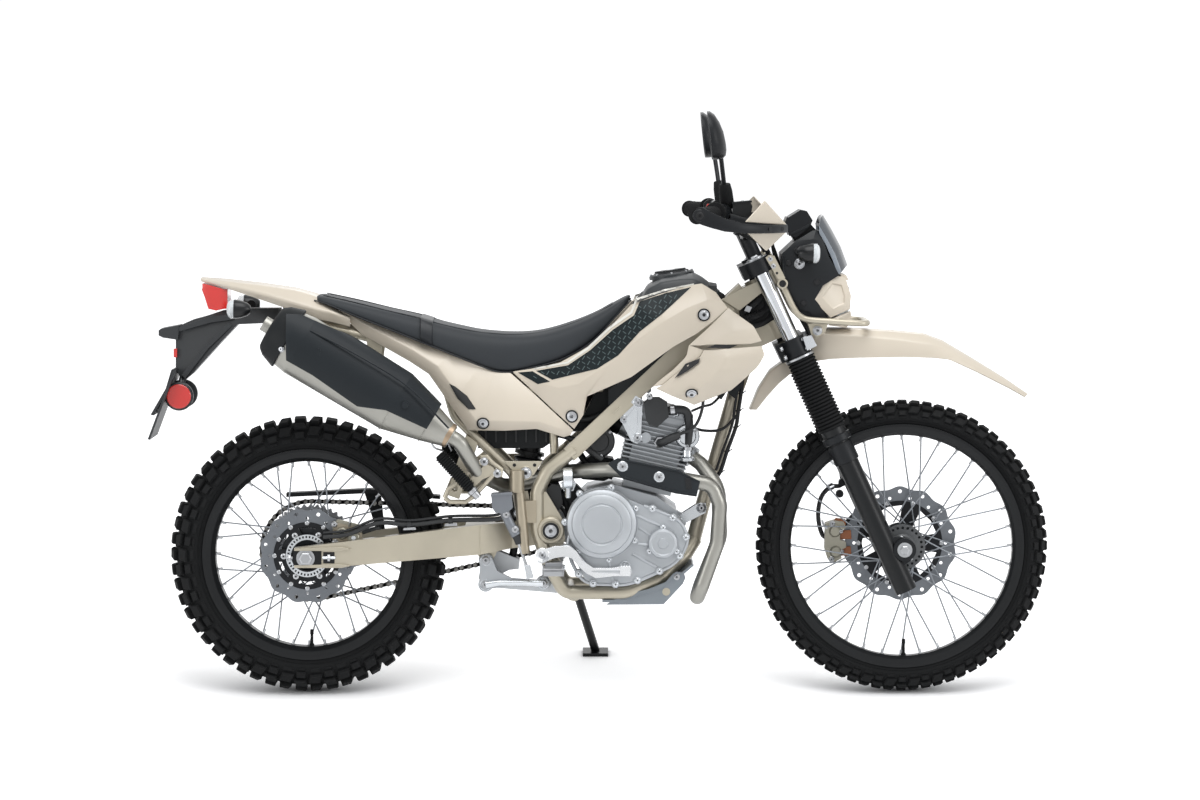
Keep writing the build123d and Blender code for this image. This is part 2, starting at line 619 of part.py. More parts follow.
def cylinder():
    """Finned barrel and head, leaning forward, with the rocker cover on top."""
    body = cyl_prism([(6, -56), (6, 56), (190, 56), (190, -56)], -62, 62)
    body -= prism([(606, 330), (606, 440), (640, 474), (700, 486), (742, 474), (800, 458), (846, 425),
                   (846, 330)], -CRANK_HALF - 1, CRANK_HALF + 1)
    for n in range(FIN_COUNT):
        low = 34 + n * FIN_PITCH
        half = 80 if n < 9 else 76
        body += cyl_prism([(low, -74), (low, 76), (low + FIN_T, 76), (low + FIN_T, -74)], -half, half)
    body += cyl_prism([(170, -62), (170, 64), (196, 52), (206, 20), (206, -30), (196, -58)], -66, 66)
    # exhaust port ahead, intake port behind, cam chain cover on the left
    body += rod(PORT_ROOT, PORT_FACE, 24)
    body += rod(INLET_ROOT, INLET_FACE, 24)
    body += cyl_prism([(20, -22), (20, 34), (180, 34), (180, -22)], 60, 92)
    body += rod(cyl(150, 62, -30), cyl(150, 62, -82), 26)
    body += rod(cyl(126, -30, -60), cyl(126, -30, -86), 12)
    body += rod(cyl(126, -30, 60), cyl(126, -30, 86), 12)
    return body


PORT_ROOT, PORT_FACE = cyl(118, 50, -14), cyl(101, 88, -26)
PORT_RUN = (PORT_FACE - PORT_ROOT).normalized()
INLET_ROOT, INLET_FACE = cyl(126, -50), cyl(136, -88)
INLET_RUN = (INLET_FACE - INLET_ROOT).normalized()


def engine_hangers():
    """Forged plates that tie the head to the spars and the crankcase to the down tube."""
    parts = None
    for side in (-1, 1):
        high = 89.3
        upper = prism([(752, 688), (768, 678), (764, 590), (756, 578), (742, 584), (716, 636)],
                      side * high, side * (high + 5))
        upper += rod((747, side * 79, 600), (747, side * (high + 2), 600), 11)
        low = DOWN_TUBE_R + SEAT_GAP
        lower = prism([(836, 396), (852, 382), (914, 414), (914, 436), (898, 436)],
                      side * low, side * (low + 5))
        for plate in (upper - spar(side, SEAT_GAP), lower):
            parts = plate if parts is None else group(parts, plate)
    return parts


FIN_COUNT = 14
FIN_PITCH = 9.6
FIN_T = 3.0


def intake():
    """Throttle body, rubber boot and air filter box behind the cylinder."""
    box = prism([(392, 566), (392, 650), (440, 696), (556, 696), (590, 640), (590, 600), (540, 566)], -72, 72)
    box -= rod(SHOCK_LOW, SHOCK_HIGH + (SHOCK_HIGH - SHOCK_LOW) * 0.05, 40)
    box -= rod((480, -RAIL_HALF, 700), (480, RAIL_HALF, 700), 9 + SEAT_GAP)
    body = tube([INLET_FACE + INLET_RUN * SEAT_GAP, INLET_FACE + INLET_RUN * 32, (575, 0, 622)], 25, 60)
    body += drum(Vector(668, 0, 582), 34, -72, 0)
    body += drum(Vector(668, 0, 582), 27, 0, 66)
    body += box
    for side in (-1, 1):
        body -= cradle_tube(side, 3)
        body -= rail(side, SEAT_GAP)
    return body


MUFFLER_START = Vector(335, MUFFLER_Y, 598)
MUFFLER_RUN = Vector(-cos(radians(31.4)), 0, sin(radians(31.4)))
MUFFLER_SECTIONS = (  # along the axis, half height, half width
    (0, 26, 26), (58, 44, 40), (150, 68, 52), (400, 72, 54), (462, 62, 48), (476, 50, 38))


def muffler_shape(grow, sections):
    faces = []
    for along, half_height, half_width in sections:
        plane = Plane(origin=MUFFLER_START + MUFFLER_RUN * along, x_dir=(0, 1, 0), z_dir=MUFFLER_RUN)
        faces.append(plane * Ellipse(half_width + grow, half_height + grow))
    return loft(faces, ruled=True)


def muffler():
    body = muffler_shape(0, MUFFLER_SECTIONS)
    body += rod((156, -112 - 20, 752), (156, -RAIL_HALF - SEAT_GAP, 752), 9)
    tip = MUFFLER_START + MUFFLER_RUN * 470
    body += rod(tip, tip + MUFFLER_RUN * 26, 17)
    body -= rod(tip + MUFFLER_RUN * 2, tip + MUFFLER_RUN * 30, 14)
    return body


def exhaust_pipe():
    inlet = MUFFLER_START - MUFFLER_RUN * SEAT_GAP
    points = [
        PORT_FACE + PORT_RUN * SEAT_GAP, PORT_FACE + PORT_RUN * 24, (942, -62, 474), (946, -46, 360),
        (902, -44, 250), (890, -75, 216), (902, -106, 250), (938, -108, 352), (944, -112, 440),
        (926, -114, 486), (850, -118, 500), (700, -104, 520), (600, -62, 512), (500, -56, 486),
        (452, -66, 478), (392, -130, 514), MUFFLER_START - MUFFLER_RUN * 22, inlet]
    radii = [24, 60, 60, 24, 18, 24, 60, 32, 34, 90, 60, 60, 60, 40, 50, 30]
    return points, radii


SHIELD_OUTLINE = [(-35, 879), (-1, 877), (111, 827), (219, 767), (284, 723), (362, 611), (340, 600),
                  (284, 618), (189, 663), (124, 671), (25, 741), (-35, 775)]
GUARD_OUTLINE = [(688, 536), (711, 549), (849, 521), (898, 496),
                 (890, 461), (842, 468), (774, 487), (722, 502)]


def exhaust_shields(pipe):
    """Heat shields over the muffler and over the pipe beside the cylinder."""
    outer = muffler_shape(9, MUFFLER_SECTIONS[1:5])
    shell = outer - muffler_shape(5, MUFFLER_SECTIONS)
    cover = shell & prism(SHIELD_OUTLINE, MUFFLER_Y - 70, MUFFLER_Y + 12)
    for along in (120, 350):
        at = MUFFLER_START + MUFFLER_RUN * along + Vector(0, 0, 14)
        cover += rod(at, at + Vector(0, -62, 0), 8) - muffler_shape(SEAT_GAP, MUFFLER_SECTIONS)
    guard = prism(GUARD_OUTLINE, -143, -139)
    for x, z in ((724, 527), (812, 508)):
        guard += rod((x, -112, z), (x, -141, z), 7)
    return cover, guard - pipe


# ---------------------------------------------------------------- tank, seat and panels
TANK_ROWS = [  # x, (half width, z) from the underside, which lies along the spars, up
    (690, [(98, 0), (104, 700), (98, 760), (70, 818), (24, 826)]),
    (766, [(90, 0), (108, 762), (112, 850), (78, 906), (28, 920)]),
    (860, [(70, 0), (106, 852), (106, 900), (74, 942), (28, 954)]),
    (938, [(54, 0), (84, 910), (82, 922), (56, 936), (24, 940)]),
]


def tank_rows():
    return [(x, [(half[0][0], spar_top_z(x) + SEAT_GAP)] + half[1:]) for x, half in TANK_ROWS]


def fuel_tank():
    body = lofted(tank_rows())
    filler = Vector(836, 0, 940)
    lean = Vector(-0.14, 0, 1).normalized()
    neck = rod(filler, filler + lean * 18, 44)
    cap = rod(filler + lean * (18 + SEAT_GAP), filler + lean * 32, 36)
    return group(body + neck, cap)


SKIN_ROWS = [  # x, (half width, z): the outside of the tank covers
    (440, [(112, 560), (120, 640), (120, 700), (106, 790), (92, 960)]),
    (600, [(112, 560), (126, 640), (126, 720), (104, 800), (84, 960)]),
    (740, [(116, 640), (136, 735), (136, 800), (118, 880), (90, 960)]),
    (865, [(126, 700), (144, 790), (140, 850), (122, 910), (92, 970)]),
    (970, [(120, 780), (140, 850), (134, 890), (114, 930), (90, 970)]),
]
TANK_COVER = [(471, 740), (613, 612), (633, 649), (639, 690), (742, 735), (839, 804), (863, 812), (962, 889),
              (946, 907), (936, 921), (900, 944), (863, 937), (742, 895), (665, 812), (580, 763)]
SHROUD_ROWS = [
    (780, [(118, 640), (130, 700), (132, 760), (130, 900)]),
    (870, [(120, 640), (142, 700), (150, 780), (142, 900)]),
    (960, [(136, 640), (156, 720), (164, 800), (142, 900)]),
    (1050, [(150, 640), (168, 730), (176, 800), (160, 900)]),
]
SHROUD = [(961, 888), (1020, 850), (1034, 809), (1044, 779), (1004, 737), (943, 692), (879, 670), (818, 688),
          (790, 713), (863, 761), (879, 797), (869, 807)]
SIDE_ROWS = [
    (40, [(70, 560), (86, 700), (96, 820), (92, 910)]),
    (240, [(80, 560), (108, 700), (118, 780), (112, 860)]),
    (380, [(120, 590), (128, 680), (126, 750), (112, 830)]),
    (620, [(127, 590), (130, 660), (122, 740), (104, 830)]),
]
SIDE_PANEL = [(62, 884), (100, 848), (127, 828), (236, 767), (281, 738), (370, 610), (374, 608), (527, 614),
              (588, 594), (611, 610), (467, 738), (398, 752), (240, 821)]
SIDE_SLOT = [(333, 714), (370, 686), (386, 661), (370, 661)]


def skin(rows, outline, wall=PANEL_T):
    """The right-hand moulded panel: an envelope's wall, cut to its side outline."""
    shell = lofted(rows) - lofted(thinner(rows, wall))
    return shell & prism(outline, -260, -60)


def tank_covers():
    panel = skin(SKIN_ROWS, TANK_COVER)
    for x, z in ((762, 806), (896, 884)):
        boss = rod((x, -70, z), (x, -140, z), 8) & lofted(thinner(SKIN_ROWS, 1.0))
        panel += boss
    panel -= spar(-1, SEAT_GAP)
    panel -= lofted(thinner(tank_rows(), -SEAT_GAP))
    return both(largest(panel))


def largest(shape):
    return max(shape.solids(), key=lambda solid: solid.volume)


def shrouds():
    panel = skin(SHROUD_ROWS, SHROUD)
    panel += rod((948, -40, 860), (948, -150, 860), 9) & lofted(thinner(SHROUD_ROWS, 1.0))
    panel -= spar(-1, SEAT_GAP)
    return both(largest(panel - lofted(thinner(tank_rows(), -SEAT_GAP))))


def side_panels():
    panel = skin(SIDE_ROWS, SIDE_PANEL) - prism(SIDE_SLOT, -200, -60)
    for x, z in ((500, 698), (240, 796)):
        boss = rod((x, -80, z), (x, -120, z), 8) & lofted(thinner(SIDE_ROWS, 1.0))
        panel += boss
    panel -= rail(-1, SEAT_GAP)
    panel -= strut(-1, SEAT_GAP)
    panel -= spar(-1, SEAT_GAP)
    return both(largest(panel))


SEAT_ROWS = [  # x, base z, visible lower edge z, top z, base half, cushion half
    (19, 868, 904, 916, 60, 92), (64, 858, 890, 908, 64, 100),
    (120, 846, 872, 897, 66, 108), (255, 812, 826, 868, 70, 116),
    (366, 772, 786, 839, 70, 108), (468, 742, 752, 830, 70, 92), (550, 742, 766, 836, 66, 82),
    (653, 800, 812, 871, 60, 74), (744, 900, 910, 921, 50, 60),
]


def seat():
    rows = []
    for x, base, edge, top, base_half, half in SEAT_ROWS:
        crown = (top - edge) * 0.3
        rows.append((x, [(base_half, base), (base_half + 4, edge), (half, edge + 1),
                         (half * 0.97, top - crown),
                         (half * 0.62, top - 1), (half * 0.2, top)]))
    body = lofted(rows)
    for x, z in ((180, 810), (420, 730)):
        for side in (-1, 1):
            body += rod((x, side * 64, z), (x, side * 64, z + 60), 9)
    for side in (-1, 1):
        body -= rail(side, SEAT_GAP)
    return body


TAIL_ROWS = [
    (-242, [(30, 946), (44, 950), (30, 955)]),
    (-150, [(58, 922), (74, 926), (52, 944)]),
    (-20, [(80, 884), (98, 890), (66, 925)]),
    (17, [(86, 874), (102, 884), (70, 919)]),
]


def tail_fender():
    body = lofted(TAIL_ROWS)
    inner = [(x, [(w - 5, z - 4) for w, z in half]) for x, half in TAIL_ROWS]
    body -= lofted(inner[1:])
    for side in (-1, 1):
        body += prism([(-16, 866), (10, 859), (10, 915), (-16, 918)], side * 58, side * 68)
        body -= rail(side, SEAT_GAP)
    return body


CARRIER = [(-62, 884), (-30, 884), (0, 868), (0, 850), (-107, 846), (-155, 850), (-209, 792),
           (-278, 716), (-305, 744), (-298, 806), (-330, 819), (-330, 838), (-292, 847),
           (-216, 871), (-192, 884)]


def rear_carrier():
    """Black inner tail: fixes under the tail, carries lamp, signals and the blank plate."""
    body = prism(CARRIER, -38, 38)
    body += prism([(-62, 850), (-62, 880), (-20, 870), (-20, 850)], -70, 70)
    for side in (-1, 1):
        body += rod((-140, side * 30, 882), (-140, side * 112, 882), 8)
        body -= rail(side, SEAT_GAP)
    body += prism([(-300, 744), (-292, 742), (-353, 590), (-362, 590)], -88, 88)
    body += prism([(-306, 735), (-258, 740), (-262, 660), (-318, 660)], -50, 50)
    body -= prism([(-40, 875), (10, 862), (10, 830), (-40, 842)], -61, 61)
    return body


def tail_lamp():
    lens = prism([(-238, 937), (-190, 927), (-190, 886), (-216, 874)], -60, 60)
    parts = [lens - lofted(thinner(TAIL_ROWS, -SEAT_GAP)) - prism(CARRIER, -38.3, 38.3)]
    for side in (-1, 1):
        parts.append(rod((-276, side * (50 + SEAT_GAP), 692), (-276, side * 60, 692), 26))
    return group(*parts)


def signal(centre, side):
    """A turn signal pod, tapered outwards from its stalk."""
    x, y, z = centre
    return extrude(Plane(origin=(x, side * y, z), z_dir=(0, side, 0)) * Ellipse(38, 21), amount=56, taper=12)


def rear_signals():
    pods = [signal((-140, 112 + SEAT_GAP, 886), side) for side in (-1, 1)]
    return group(*pods)


# ---------------------------------------------------------------- chain drive, controls and guards
DRIVE = Vector(634, 0, 378)


LINK_PITCH = 15.875
LINK_WAIST = 2.6    # how much an inner link is lower than an outer one, at the chain's outer edge


def waved(points):
    """The closed outline with a low and a high stretch for each pair of links."""
    edge = []
    walked = 0.0
    for (x0, z0), (x1, z1) in zip(points, points[1:] + points[:1]):
        length = hypot(x1 - x0, z1 - z0)
        ahead = ((x1 - x0) / length, (z1 - z0) / length)
        start = walked
        walked += length
        step = int(start / LINK_PITCH) + 1
        edge.append((x0, z0))
        while step * LINK_PITCH < walked - 2:
            along = step * LINK_PITCH - start
            if along > 2:
                drops = (0.0, LINK_WAIST) if step % 2 else (LINK_WAIST, 0.0)
                for shift, drop in zip((-1.2, 1.2), drops):
                    edge.append((x0 + ahead[0] * (along + shift) - ahead[1] * drop,
                                 z0 + ahead[1] * (along + shift) + ahead[0] * drop))
            step += 1
    return edge


def chain():
    """A closed chain round both sprockets, its links' outline stepped by a loop."""
    dx, dz = DRIVE.X - REAR_AXLE.X, DRIVE.Z - REAR_AXLE.Z
    span = hypot(dx, dz)
    lean = acos((SPROCKET_R - DRIVE_SPROCKET_R) / span)
    base = atan2(dz, dx)
    outline = []
    steps = 16
    # a polygon round each sprocket whose flats, not corners, stand clear of it
    bulge_big = 1 / cos((pi - lean) / steps)
    bulge_small = 1 / cos(lean / 4)
    for grow in (CHAIN_H, 0):
        big = (SPROCKET_R + RUN_GAP) * bulge_big + grow
        small = (DRIVE_SPROCKET_R + RUN_GAP) * bulge_small + grow
        points = []
        for n in range(steps + 1):
            t = base + lean + (2 * pi - 2 * lean) * n / steps
            points.append((REAR_AXLE.X + big * cos(t), REAR_AXLE.Z + big * sin(t)))
        for n in range(5):
            t = base - lean + 2 * lean * n / 4
            points.append((DRIVE.X + small * cos(t), DRIVE.Z + small * sin(t)))
        outline.append(points)
    return prism(waved(outline[0]), CHAIN_Y - 7, CHAIN_Y + 7) - prism(outline[1], CHAIN_Y - 8, CHAIN_Y + 8)


def arm_top_z(x):
    """Height of the swingarm's upper face behind its cross tube."""
    return 352 + (x - 60) * (394 - 352) / (398 - 60)


def chain_guard():
    guard = prism([(-56, 452), (139, 462), (300, 446), (300, 438), (139, 452), (-56, 443)], 58, 98)
    stay_foot = [(x, arm_top_z(x) + SEAT_GAP) for x in (170, 150)]
    guard += prism([(120, 460), (160, 460)] + stay_foot, 96, 102)
    return guard


def skid_plate():
    under = [(676, 216), (735, 216), (812, 238), (885, 300)]
    over = [(881, 304), (808, 242.5), (733, 222 - SEAT_GAP), (676, 222 - SEAT_GAP)]
    return prism(under + over, -104, 104)


def foot_controls():
    """Rear brake pedal on the right and gear lever on the left."""
    pedal = tube([(540, -146, 330), (600, -146, 348), (648, -150, 292), (735, -152, 292)], 8, [16, 20])
    pedal += rod((735, -152, 292), (735, -176, 294), 9)
    pedal += rod((540, -SPAR_HALF - 6 - SEAT_GAP, 330), (540, -156, 330), 15)
    pedal = largest(pedal - cradle_tube(-1, SEAT_GAP))
    lever = tube([(676, 160, 330), (735, 162, 322), (762, 166, 330)], 7, [30])
    lever += rod((676, CRANK_HALF + 20 + SEAT_GAP, 330), (676, 168, 330), 11)
    lever += rod((762, 160, 330), (762, 196, 331), 9)
    return group(pedal, lever)


def foot_pegs():
    """Rider's pegs on the frame and passenger's pegs, folded up, on the rear struts."""
    rider = rod((565, -108, 300), (565, -166, 298), 13)
    rider = largest(rider - cradle_tube(-1, SEAT_GAP))
    rider += prism([(541, 290), (541, 306), (589, 306), (589, 290)], -246, -160)
    mount = rod((340, -105.3, 560), (340, -120, 560), 13)
    mount += rod((338, -119, 562), (346, -122, 490), 14)
    return group(both(rider), both(mount))


def rear_brake():
    """Caliper over the rear disc, and the master cylinder beside the frame."""
    caliper = prism([(60, 398), (128, 384), (120, 338), (72, 345)], -82, -40)
    caliper -= drum(REAR_AXLE, REAR_DISC_R + 2, REAR_DISC_Y - 4, REAR_DISC_Y + 4)
    caliper += prism([(60, 346), (128, 340), (128, 380), (60, 380)], SEAT_GAP - 84, -78)
    master = rod((487, -126, 470), (500, -126, 330), 12) + rod((482, -126, 470), (482, -126, 520), 17)
    master += prism([(490, 450), (526, 450), (526, 400), (490, 400)], -SPAR_HALF - 6 - SEAT_GAP, -126)
    master = largest(master - cradle_tube(-1, SEAT_GAP))
    return group(caliper, master)


# ---------------------------------------------------------------- steering assembly
def fork_tube_rod(side, low, high, radius):
    return rod(fork(low, CLAMP_OFFSET, side * FORK_HALF), fork(high, CLAMP_OFFSET, side * FORK_HALF), radius)


def triple_clamps():
    """Stem and both clamps, split round the fork tubes."""
    body = rod(fork(LOWER_CLAMP[0], 0), fork(UPPER_CLAMP[1] + 6, 0), STEM_R)
    for low, high in (LOWER_CLAMP, UPPER_CLAMP):
        body += fork_prism([(low, -24), (high, -24), (high, 46), (low, 46)], -FORK_HALF, FORK_HALF)
        for side in (-1, 1):
            body += fork_tube_rod(side, low, high, FORK_TUBE_R + 10)
    for side in (-1, 1):
        body -= fork_tube_rod(side, LOWER_CLAMP[0] - 5, UPPER_CLAMP[1] + 5, FORK_TUBE_R + SEAT_GAP)
        body += rod(fork(UPPER_CLAMP[1] - 2, 20, side * 48), fork(UPPER_CLAMP[1] + 82, 20, side * 48), 17)
    return body - bar_centre(SEAT_GAP)


GRIP_IN = BAR_HALF - 140   # where the straight hand part of the bar begins
BAR_POINTS = [(884, -BAR_HALF, 1104), (936, -GRIP_IN, 1106), (996, -150, 1066), (1000, -64, 1052),
              (1000, 64, 1052), (996, 150, 1066), (936, GRIP_IN, 1106), (884, BAR_HALF, 1104)]


def bar_centre(grow):
    return rod((1000, -90, 1052), (1000, 90, 1052), BAR_R + grow)


def handlebar(grow=0.0):
    return tube(BAR_POINTS, BAR_R + grow, [60, 50, 40, 40, 50, 60])


def grips():
    """Rubber grips, switch blocks and levers, both hands."""
    pieces = None
    for side in (-1, 1):
        end, inner = Vector(884, side * BAR_HALF, 1104), Vector(936, side * GRIP_IN, 1106)
        along = (inner - end).normalized()
        grip = rod(end, end + along * 118, 17)
        block = rod(end + along * 118, end + along * 146, 24)
        block += rod(end + along * 112 + Vector(30, 0, -2), end + along * 146 + Vector(34, 0, -2), 11)
        lever = tube([end + along * 136 + Vector(28, 0, 0), end + along * 90 + Vector(62, 0, -4),
                      end + along * 24 + Vector(54, 0, -10)], 6.5, [30])
        hand = grip + block + lever
        hand -= handlebar(SEAT_GAP)
        pieces = hand if pieces is None else group(pieces, hand)
    return pieces


GUARD_T = 1.6        # half the thickness of a deflector's walls
GUARD_ARM_R = 8.0
# the upper and the lower shell: its peak, then the heights of its outer edge, its nose and its inner edge
GUARD_FOLDS = (((1032, 62, 1135), 1086, 1080, 1084), ((1040, 67, 1027), 1078, 1069, 1066))
GRIP_FLANGE = 6.0     # the grips run on past the bar's ends by this


def facet(*corners):
    """A flat triangular wall through three points."""
    a, b, c = [Vector(*p) for p in corners]
    plane = Plane(origin=a, x_dir=b - a, z_dir=(b - a).cross(c - a))
    local = [plane.to_local_coords(p) for p in (a, b, c)]
    face = make_face(Polyline(*[(p.X, p.Y) for p in local], close=True))
    return extrude(plane * face, amount=GUARD_T, both=True)


def hand_guards():
    """Folded wind deflectors above and below dark arms, from the bar's ends to clamps inboard."""
    pieces = []
    for side in (-1, 1):
        def at(x, in_by, z):
            return x, side * (BAR_HALF - in_by), z
        shell = None
        for peak, z_outer, z_nose, z_inner in GUARD_FOLDS:
            outer, nose, inner = at(992, 8, z_outer), at(1082, 100, z_nose), at(1068, 168, z_inner)
            for corners in ((outer, at(*peak), nose), (at(*peak), nose, inner)):
                shell = facet(*corners) if shell is None else shell + facet(*corners)
        arm = tube([at(884, -GRIP_FLANGE - 8, 1104), at(908, -GRIP_FLANGE - 12, 1099), at(960, -8, 1084),
                    at(1030, 26, 1075), at(1080, 84, 1074),
                    at(1080, 140, 1075), at(1000, 150, 1080), at(956, 154, 1097)], GUARD_ARM_R,
                   [14, 30, 60, 50, 24, 20])
        boss = rod(at(884, -GRIP_FLANGE - SEAT_GAP, 1104), at(884, -GRIP_FLANGE - 8, 1104), 14)
        clamp = rod((950, side * (GRIP_IN - 24), 1097), (940, side * (GRIP_IN - 4), 1104), 17)
        pieces.append(largest(shell + arm + boss + clamp - handlebar(SEAT_GAP)))
    return group(*pieces)


def mirrors():
    pieces = []
    for side in (-1, 1):
        foot_y = side * (GRIP_IN - 41)
        stem = tube([(957, foot_y, 1112), (949, side * (GRIP_IN - 26), 1180),
                     (938, side * (GRIP_IN + 41), 1252)], 6, [40])
        stem += rod((957, foot_y, 1099), (957, foot_y, 1124), 12)
        head = extrude(Plane(origin=(931, side * (GRIP_IN + 56), 1281), x_dir=(0, 1, 0), z_dir=(-1, 0, 0.12))
                       * Ellipse(64, 54), amount=9, both=True)
        stem -= handlebar(SEAT_GAP)
        pieces.append(stem + head)
    return group(*pieces)


def fork_tubes():
    return group(*[fork_tube_rod(side, SLIDER_TOP + SEAT_GAP, UPPER_CLAMP[1] + 4, FORK_TUBE_R)
                   for side in (-1, 1)])


def fork_boots():
    """Ribbed rubber gaiters between the sliders and the lower clamp."""
    ribs = 22
    pieces = []
    for side in (-1, 1):
        base = fork(SLIDER_TOP + SEAT_GAP, CLAMP_OFFSET, side * FORK_HALF)
        length = BOOT_TOP - SLIDER_TOP - 2 * SEAT_GAP
        pitch = length / ribs
        outline = [(FORK_TUBE_R + SEAT_GAP, 0)]
        for n in range(ribs):
            outline += [(BOOT_R - 4, n * pitch), (BOOT_R, (n + 0.3) * pitch), (BOOT_R, (n + 0.7) * pitch),
                        (BOOT_R - 4, (n + 0.98) * pitch)]
        outline += [(FORK_TUBE_R + SEAT_GAP, length)]
        plane = Plane(origin=base, x_dir=(0, 1, 0), z_dir=STEER_UP)
        face = plane * (Plane.XZ * make_face(Polyline(*outline, close=True)))
        pieces.append(revolve(face, axis=Axis(base, STEER_UP)))
    return group(*pieces)


def fork_lowers():
    """Sliders with their axle lugs, the axle through them and its spacers."""
    legs = None
    for side in (-1, 1):
        leg = fork_tube_rod(side, SLIDER_BOTTOM, SLIDER_TOP, SLIDER_R)
        leg += fork_tube_rod(side, SLIDER_TOP - 22, SLIDER_TOP, SLIDER_R + 4)
        leg += fork_prism([(-34, 10), (34, 10), (22, 53), (-22, 53)], side * 76, side * 110)
        leg += drum(FRONT_AXLE, 24, side * 76, side * 110)
        legs = leg if legs is None else legs + leg
    axle = drum(FRONT_AXLE, AXLE_R, -118, 118)
    axle += drum(FRONT_AXLE, 13, -118, -110)
    axle += drum(FRONT_AXLE, 13, 110, 118)
    for side in (-1, 1):
        axle += drum(FRONT_AXLE, 14, side * (FRONT_HUB["half"] + RUN_GAP), side * 76)
    return legs + axle


FENDER_ROWS = [
    (1186, [(60, 776), (62, 806), (40, 836)]),
    (1326, [(66, 778), (68, 804), (40, 836)]),
    (1440, [(70, 772), (72, 790), (40, 822)]),
    (1530, [(64, 738), (66, 752), (36, 778)]),
    (1654, [(24, 684), (26, 687), (14, 690)]),
]


def front_fender():
    """High fender under the lower clamp, with its drooping tail between the forks."""
    body = lofted(FENDER_ROWS)
    inner = [(x, [(max(w - 3.5, 2), z - 4) for w, z in half]) for x, half in FENDER_ROWS[:-1]]
    inner.append((1640, [(14, 670), (14, 685), (6, 688)]))
    inner.insert(0, (1180, inner[0][1]))
    body -= lofted(inner)
    top = [fork(LOWER_CLAMP[0] - SEAT_GAP, ahead) for ahead in (-8, 46)]
    low = [fork(LOWER_CLAMP[0] - 6, ahead) for ahead in (46, -6)]
    sheet = [(1012, 648)] + [(p.X, p.Z) for p in top] + [(1186, 812), (1190, 800)]
    body += prism(sheet + [(p.X, p.Z) for p in low] + [(1018, 644)], -46, 46)
    body += prism([(1150, 800), (1186, 836), (1186, 776), (1150, 780)], -58, 58)
    for side in (-1, 1):
        body -= fork_tube_rod(side, BOOT_TOP - 150, BOOT_TOP, BOOT_R + 1.5)
    return body


COWL = [(1084, 1020), (1163, 1067), (1177, 1053), (1187, 1012), (1225, 967), (1192, 963), (1152, 912),
        (1187, 866), (1128, 872), (1096, 960)]
SURROUND = [(1192, 963), (1230, 957), (1240, 892), (1246, 860),
            (1234, 839), (1209, 841), (1187, 866), (1152, 912)]


def headlight_cowl():
    """Black nacelle with the instrument pod, on brackets from both clamps."""
    body = prism(COWL, -92, 92)
    body -= prism([(1092, 1010), (1160, 1052), (1160, 1000), (1150, 930), (1120, 930), (1100, 960)], -84, 84)
    body += prism([(1094, 1083), (1137, 1110), (1163, 1079), (1100, 1046)], -62, 62)
    body += prism([(1098, 1052), (1150, 1078), (1150, 1050), (1100, 1025)], -40, 40)
    for side in (-1, 1):
        upper = fork(UPPER_CLAMP[0] + 14, 46 + SEAT_GAP)
        lower = fork(LOWER_CLAMP[0] + 24, 46 + SEAT_GAP)
        body += rod((upper.X, side * 60, upper.Z), (1110, side * 86, 990), 9)
        body += rod((lower.X, side * 60, lower.Z), (1140, side * 86, 880), 9)
    body -= fork_prism([(LOWER_CLAMP[0] - 9, -40), (UPPER_CLAMP[1] + 9, -40),
                        (UPPER_CLAMP[1] + 9, 46 + SEAT_GAP), (LOWER_CLAMP[0] - 9, 46 + SEAT_GAP)], -140, 140)
    return body - lamp_guard(SEAT_GAP)


def lamp_surround():
    body = prism(SURROUND, -88, 88)
    body -= prism([(1202, 952), (1246, 952), (1262, 880), (1262, 846), (1210, 850)], -66, 66)
    return body


def headlight():
    lens = prism([(1206, 948), (1226, 944), (1236, 892), (1240, 862), (1214, 854)],
                 -66 + SEAT_GAP, 66 - SEAT_GAP)
    return lens


SCREEN_BOW_R = 169.0
SCREEN_T = 3.0


def windscreen():
    """Smoked screen, bowed in plan, standing over the nacelle."""
    # the foot of the screen lies on the nacelle's sloping brow
    outline = prism([(1166, 1098), (1184, 1090), (1237, 985), (1229, 969), (1225, 967), (1206, 989.5),
                     (1180, 1064), (1160, 1092)], -76, 76)
    slope = Vector(53, 0, -105).normalized()
    ahead = Vector(-slope.Z, 0, slope.X)
    middle = Vector(1237, 0, 985) - ahead * SCREEN_BOW_R
    shell = (rod(middle - slope * 200, middle + slope * 100, SCREEN_BOW_R)
             - rod(middle - slope * 201, middle + slope * 101, SCREEN_BOW_R - SCREEN_T))
    return outline & shell


def lamp_guard(grow=0.0):
    """Tubular guard looped under the headlight."""
    return tube([(1128, -70, 866), (1150, -104, 856), (1270, -96, 846), (1276, 0, 848), (1270, 96, 846),
                 (1150, 104, 856), (1128, 70, 866)], 7 + grow, [20, 24, 60, 24, 20])


def front_signals():
    pods = []
    for side in (-1, 1):
        pod = signal((1146, 112, 1013), side)
        pod += rod((1146, side * (92 + SEAT_GAP), 1013), (1146, side * 114, 1013), 8)
        pods.append(pod)
    return group(*pods)


def front_caliper():
    """Twin-piston caliper behind the left slider, with its bracket."""
    body = prism([(1204, 388), (1248, 396), (1258, 300), (1216, 290)], 34, 70)
    body -= drum(FRONT_AXLE, FRONT_DISC_R + 2, FRONT_DISC_Y - 4, FRONT_DISC_Y + 4)
    body += prism([(1240, 380), (1300, 400), (1312, 330), (1246, 310)], 60, 74)
    body += prism([(1280, 396), (1340, 396), (1340, 330), (1290, 330)], 60, 84)
    body -= fork_tube_rod(1, -60, 200, SLIDER_R + SEAT_GAP)
    return largest(body - drum(FRONT_AXLE, 40, 30, 120))


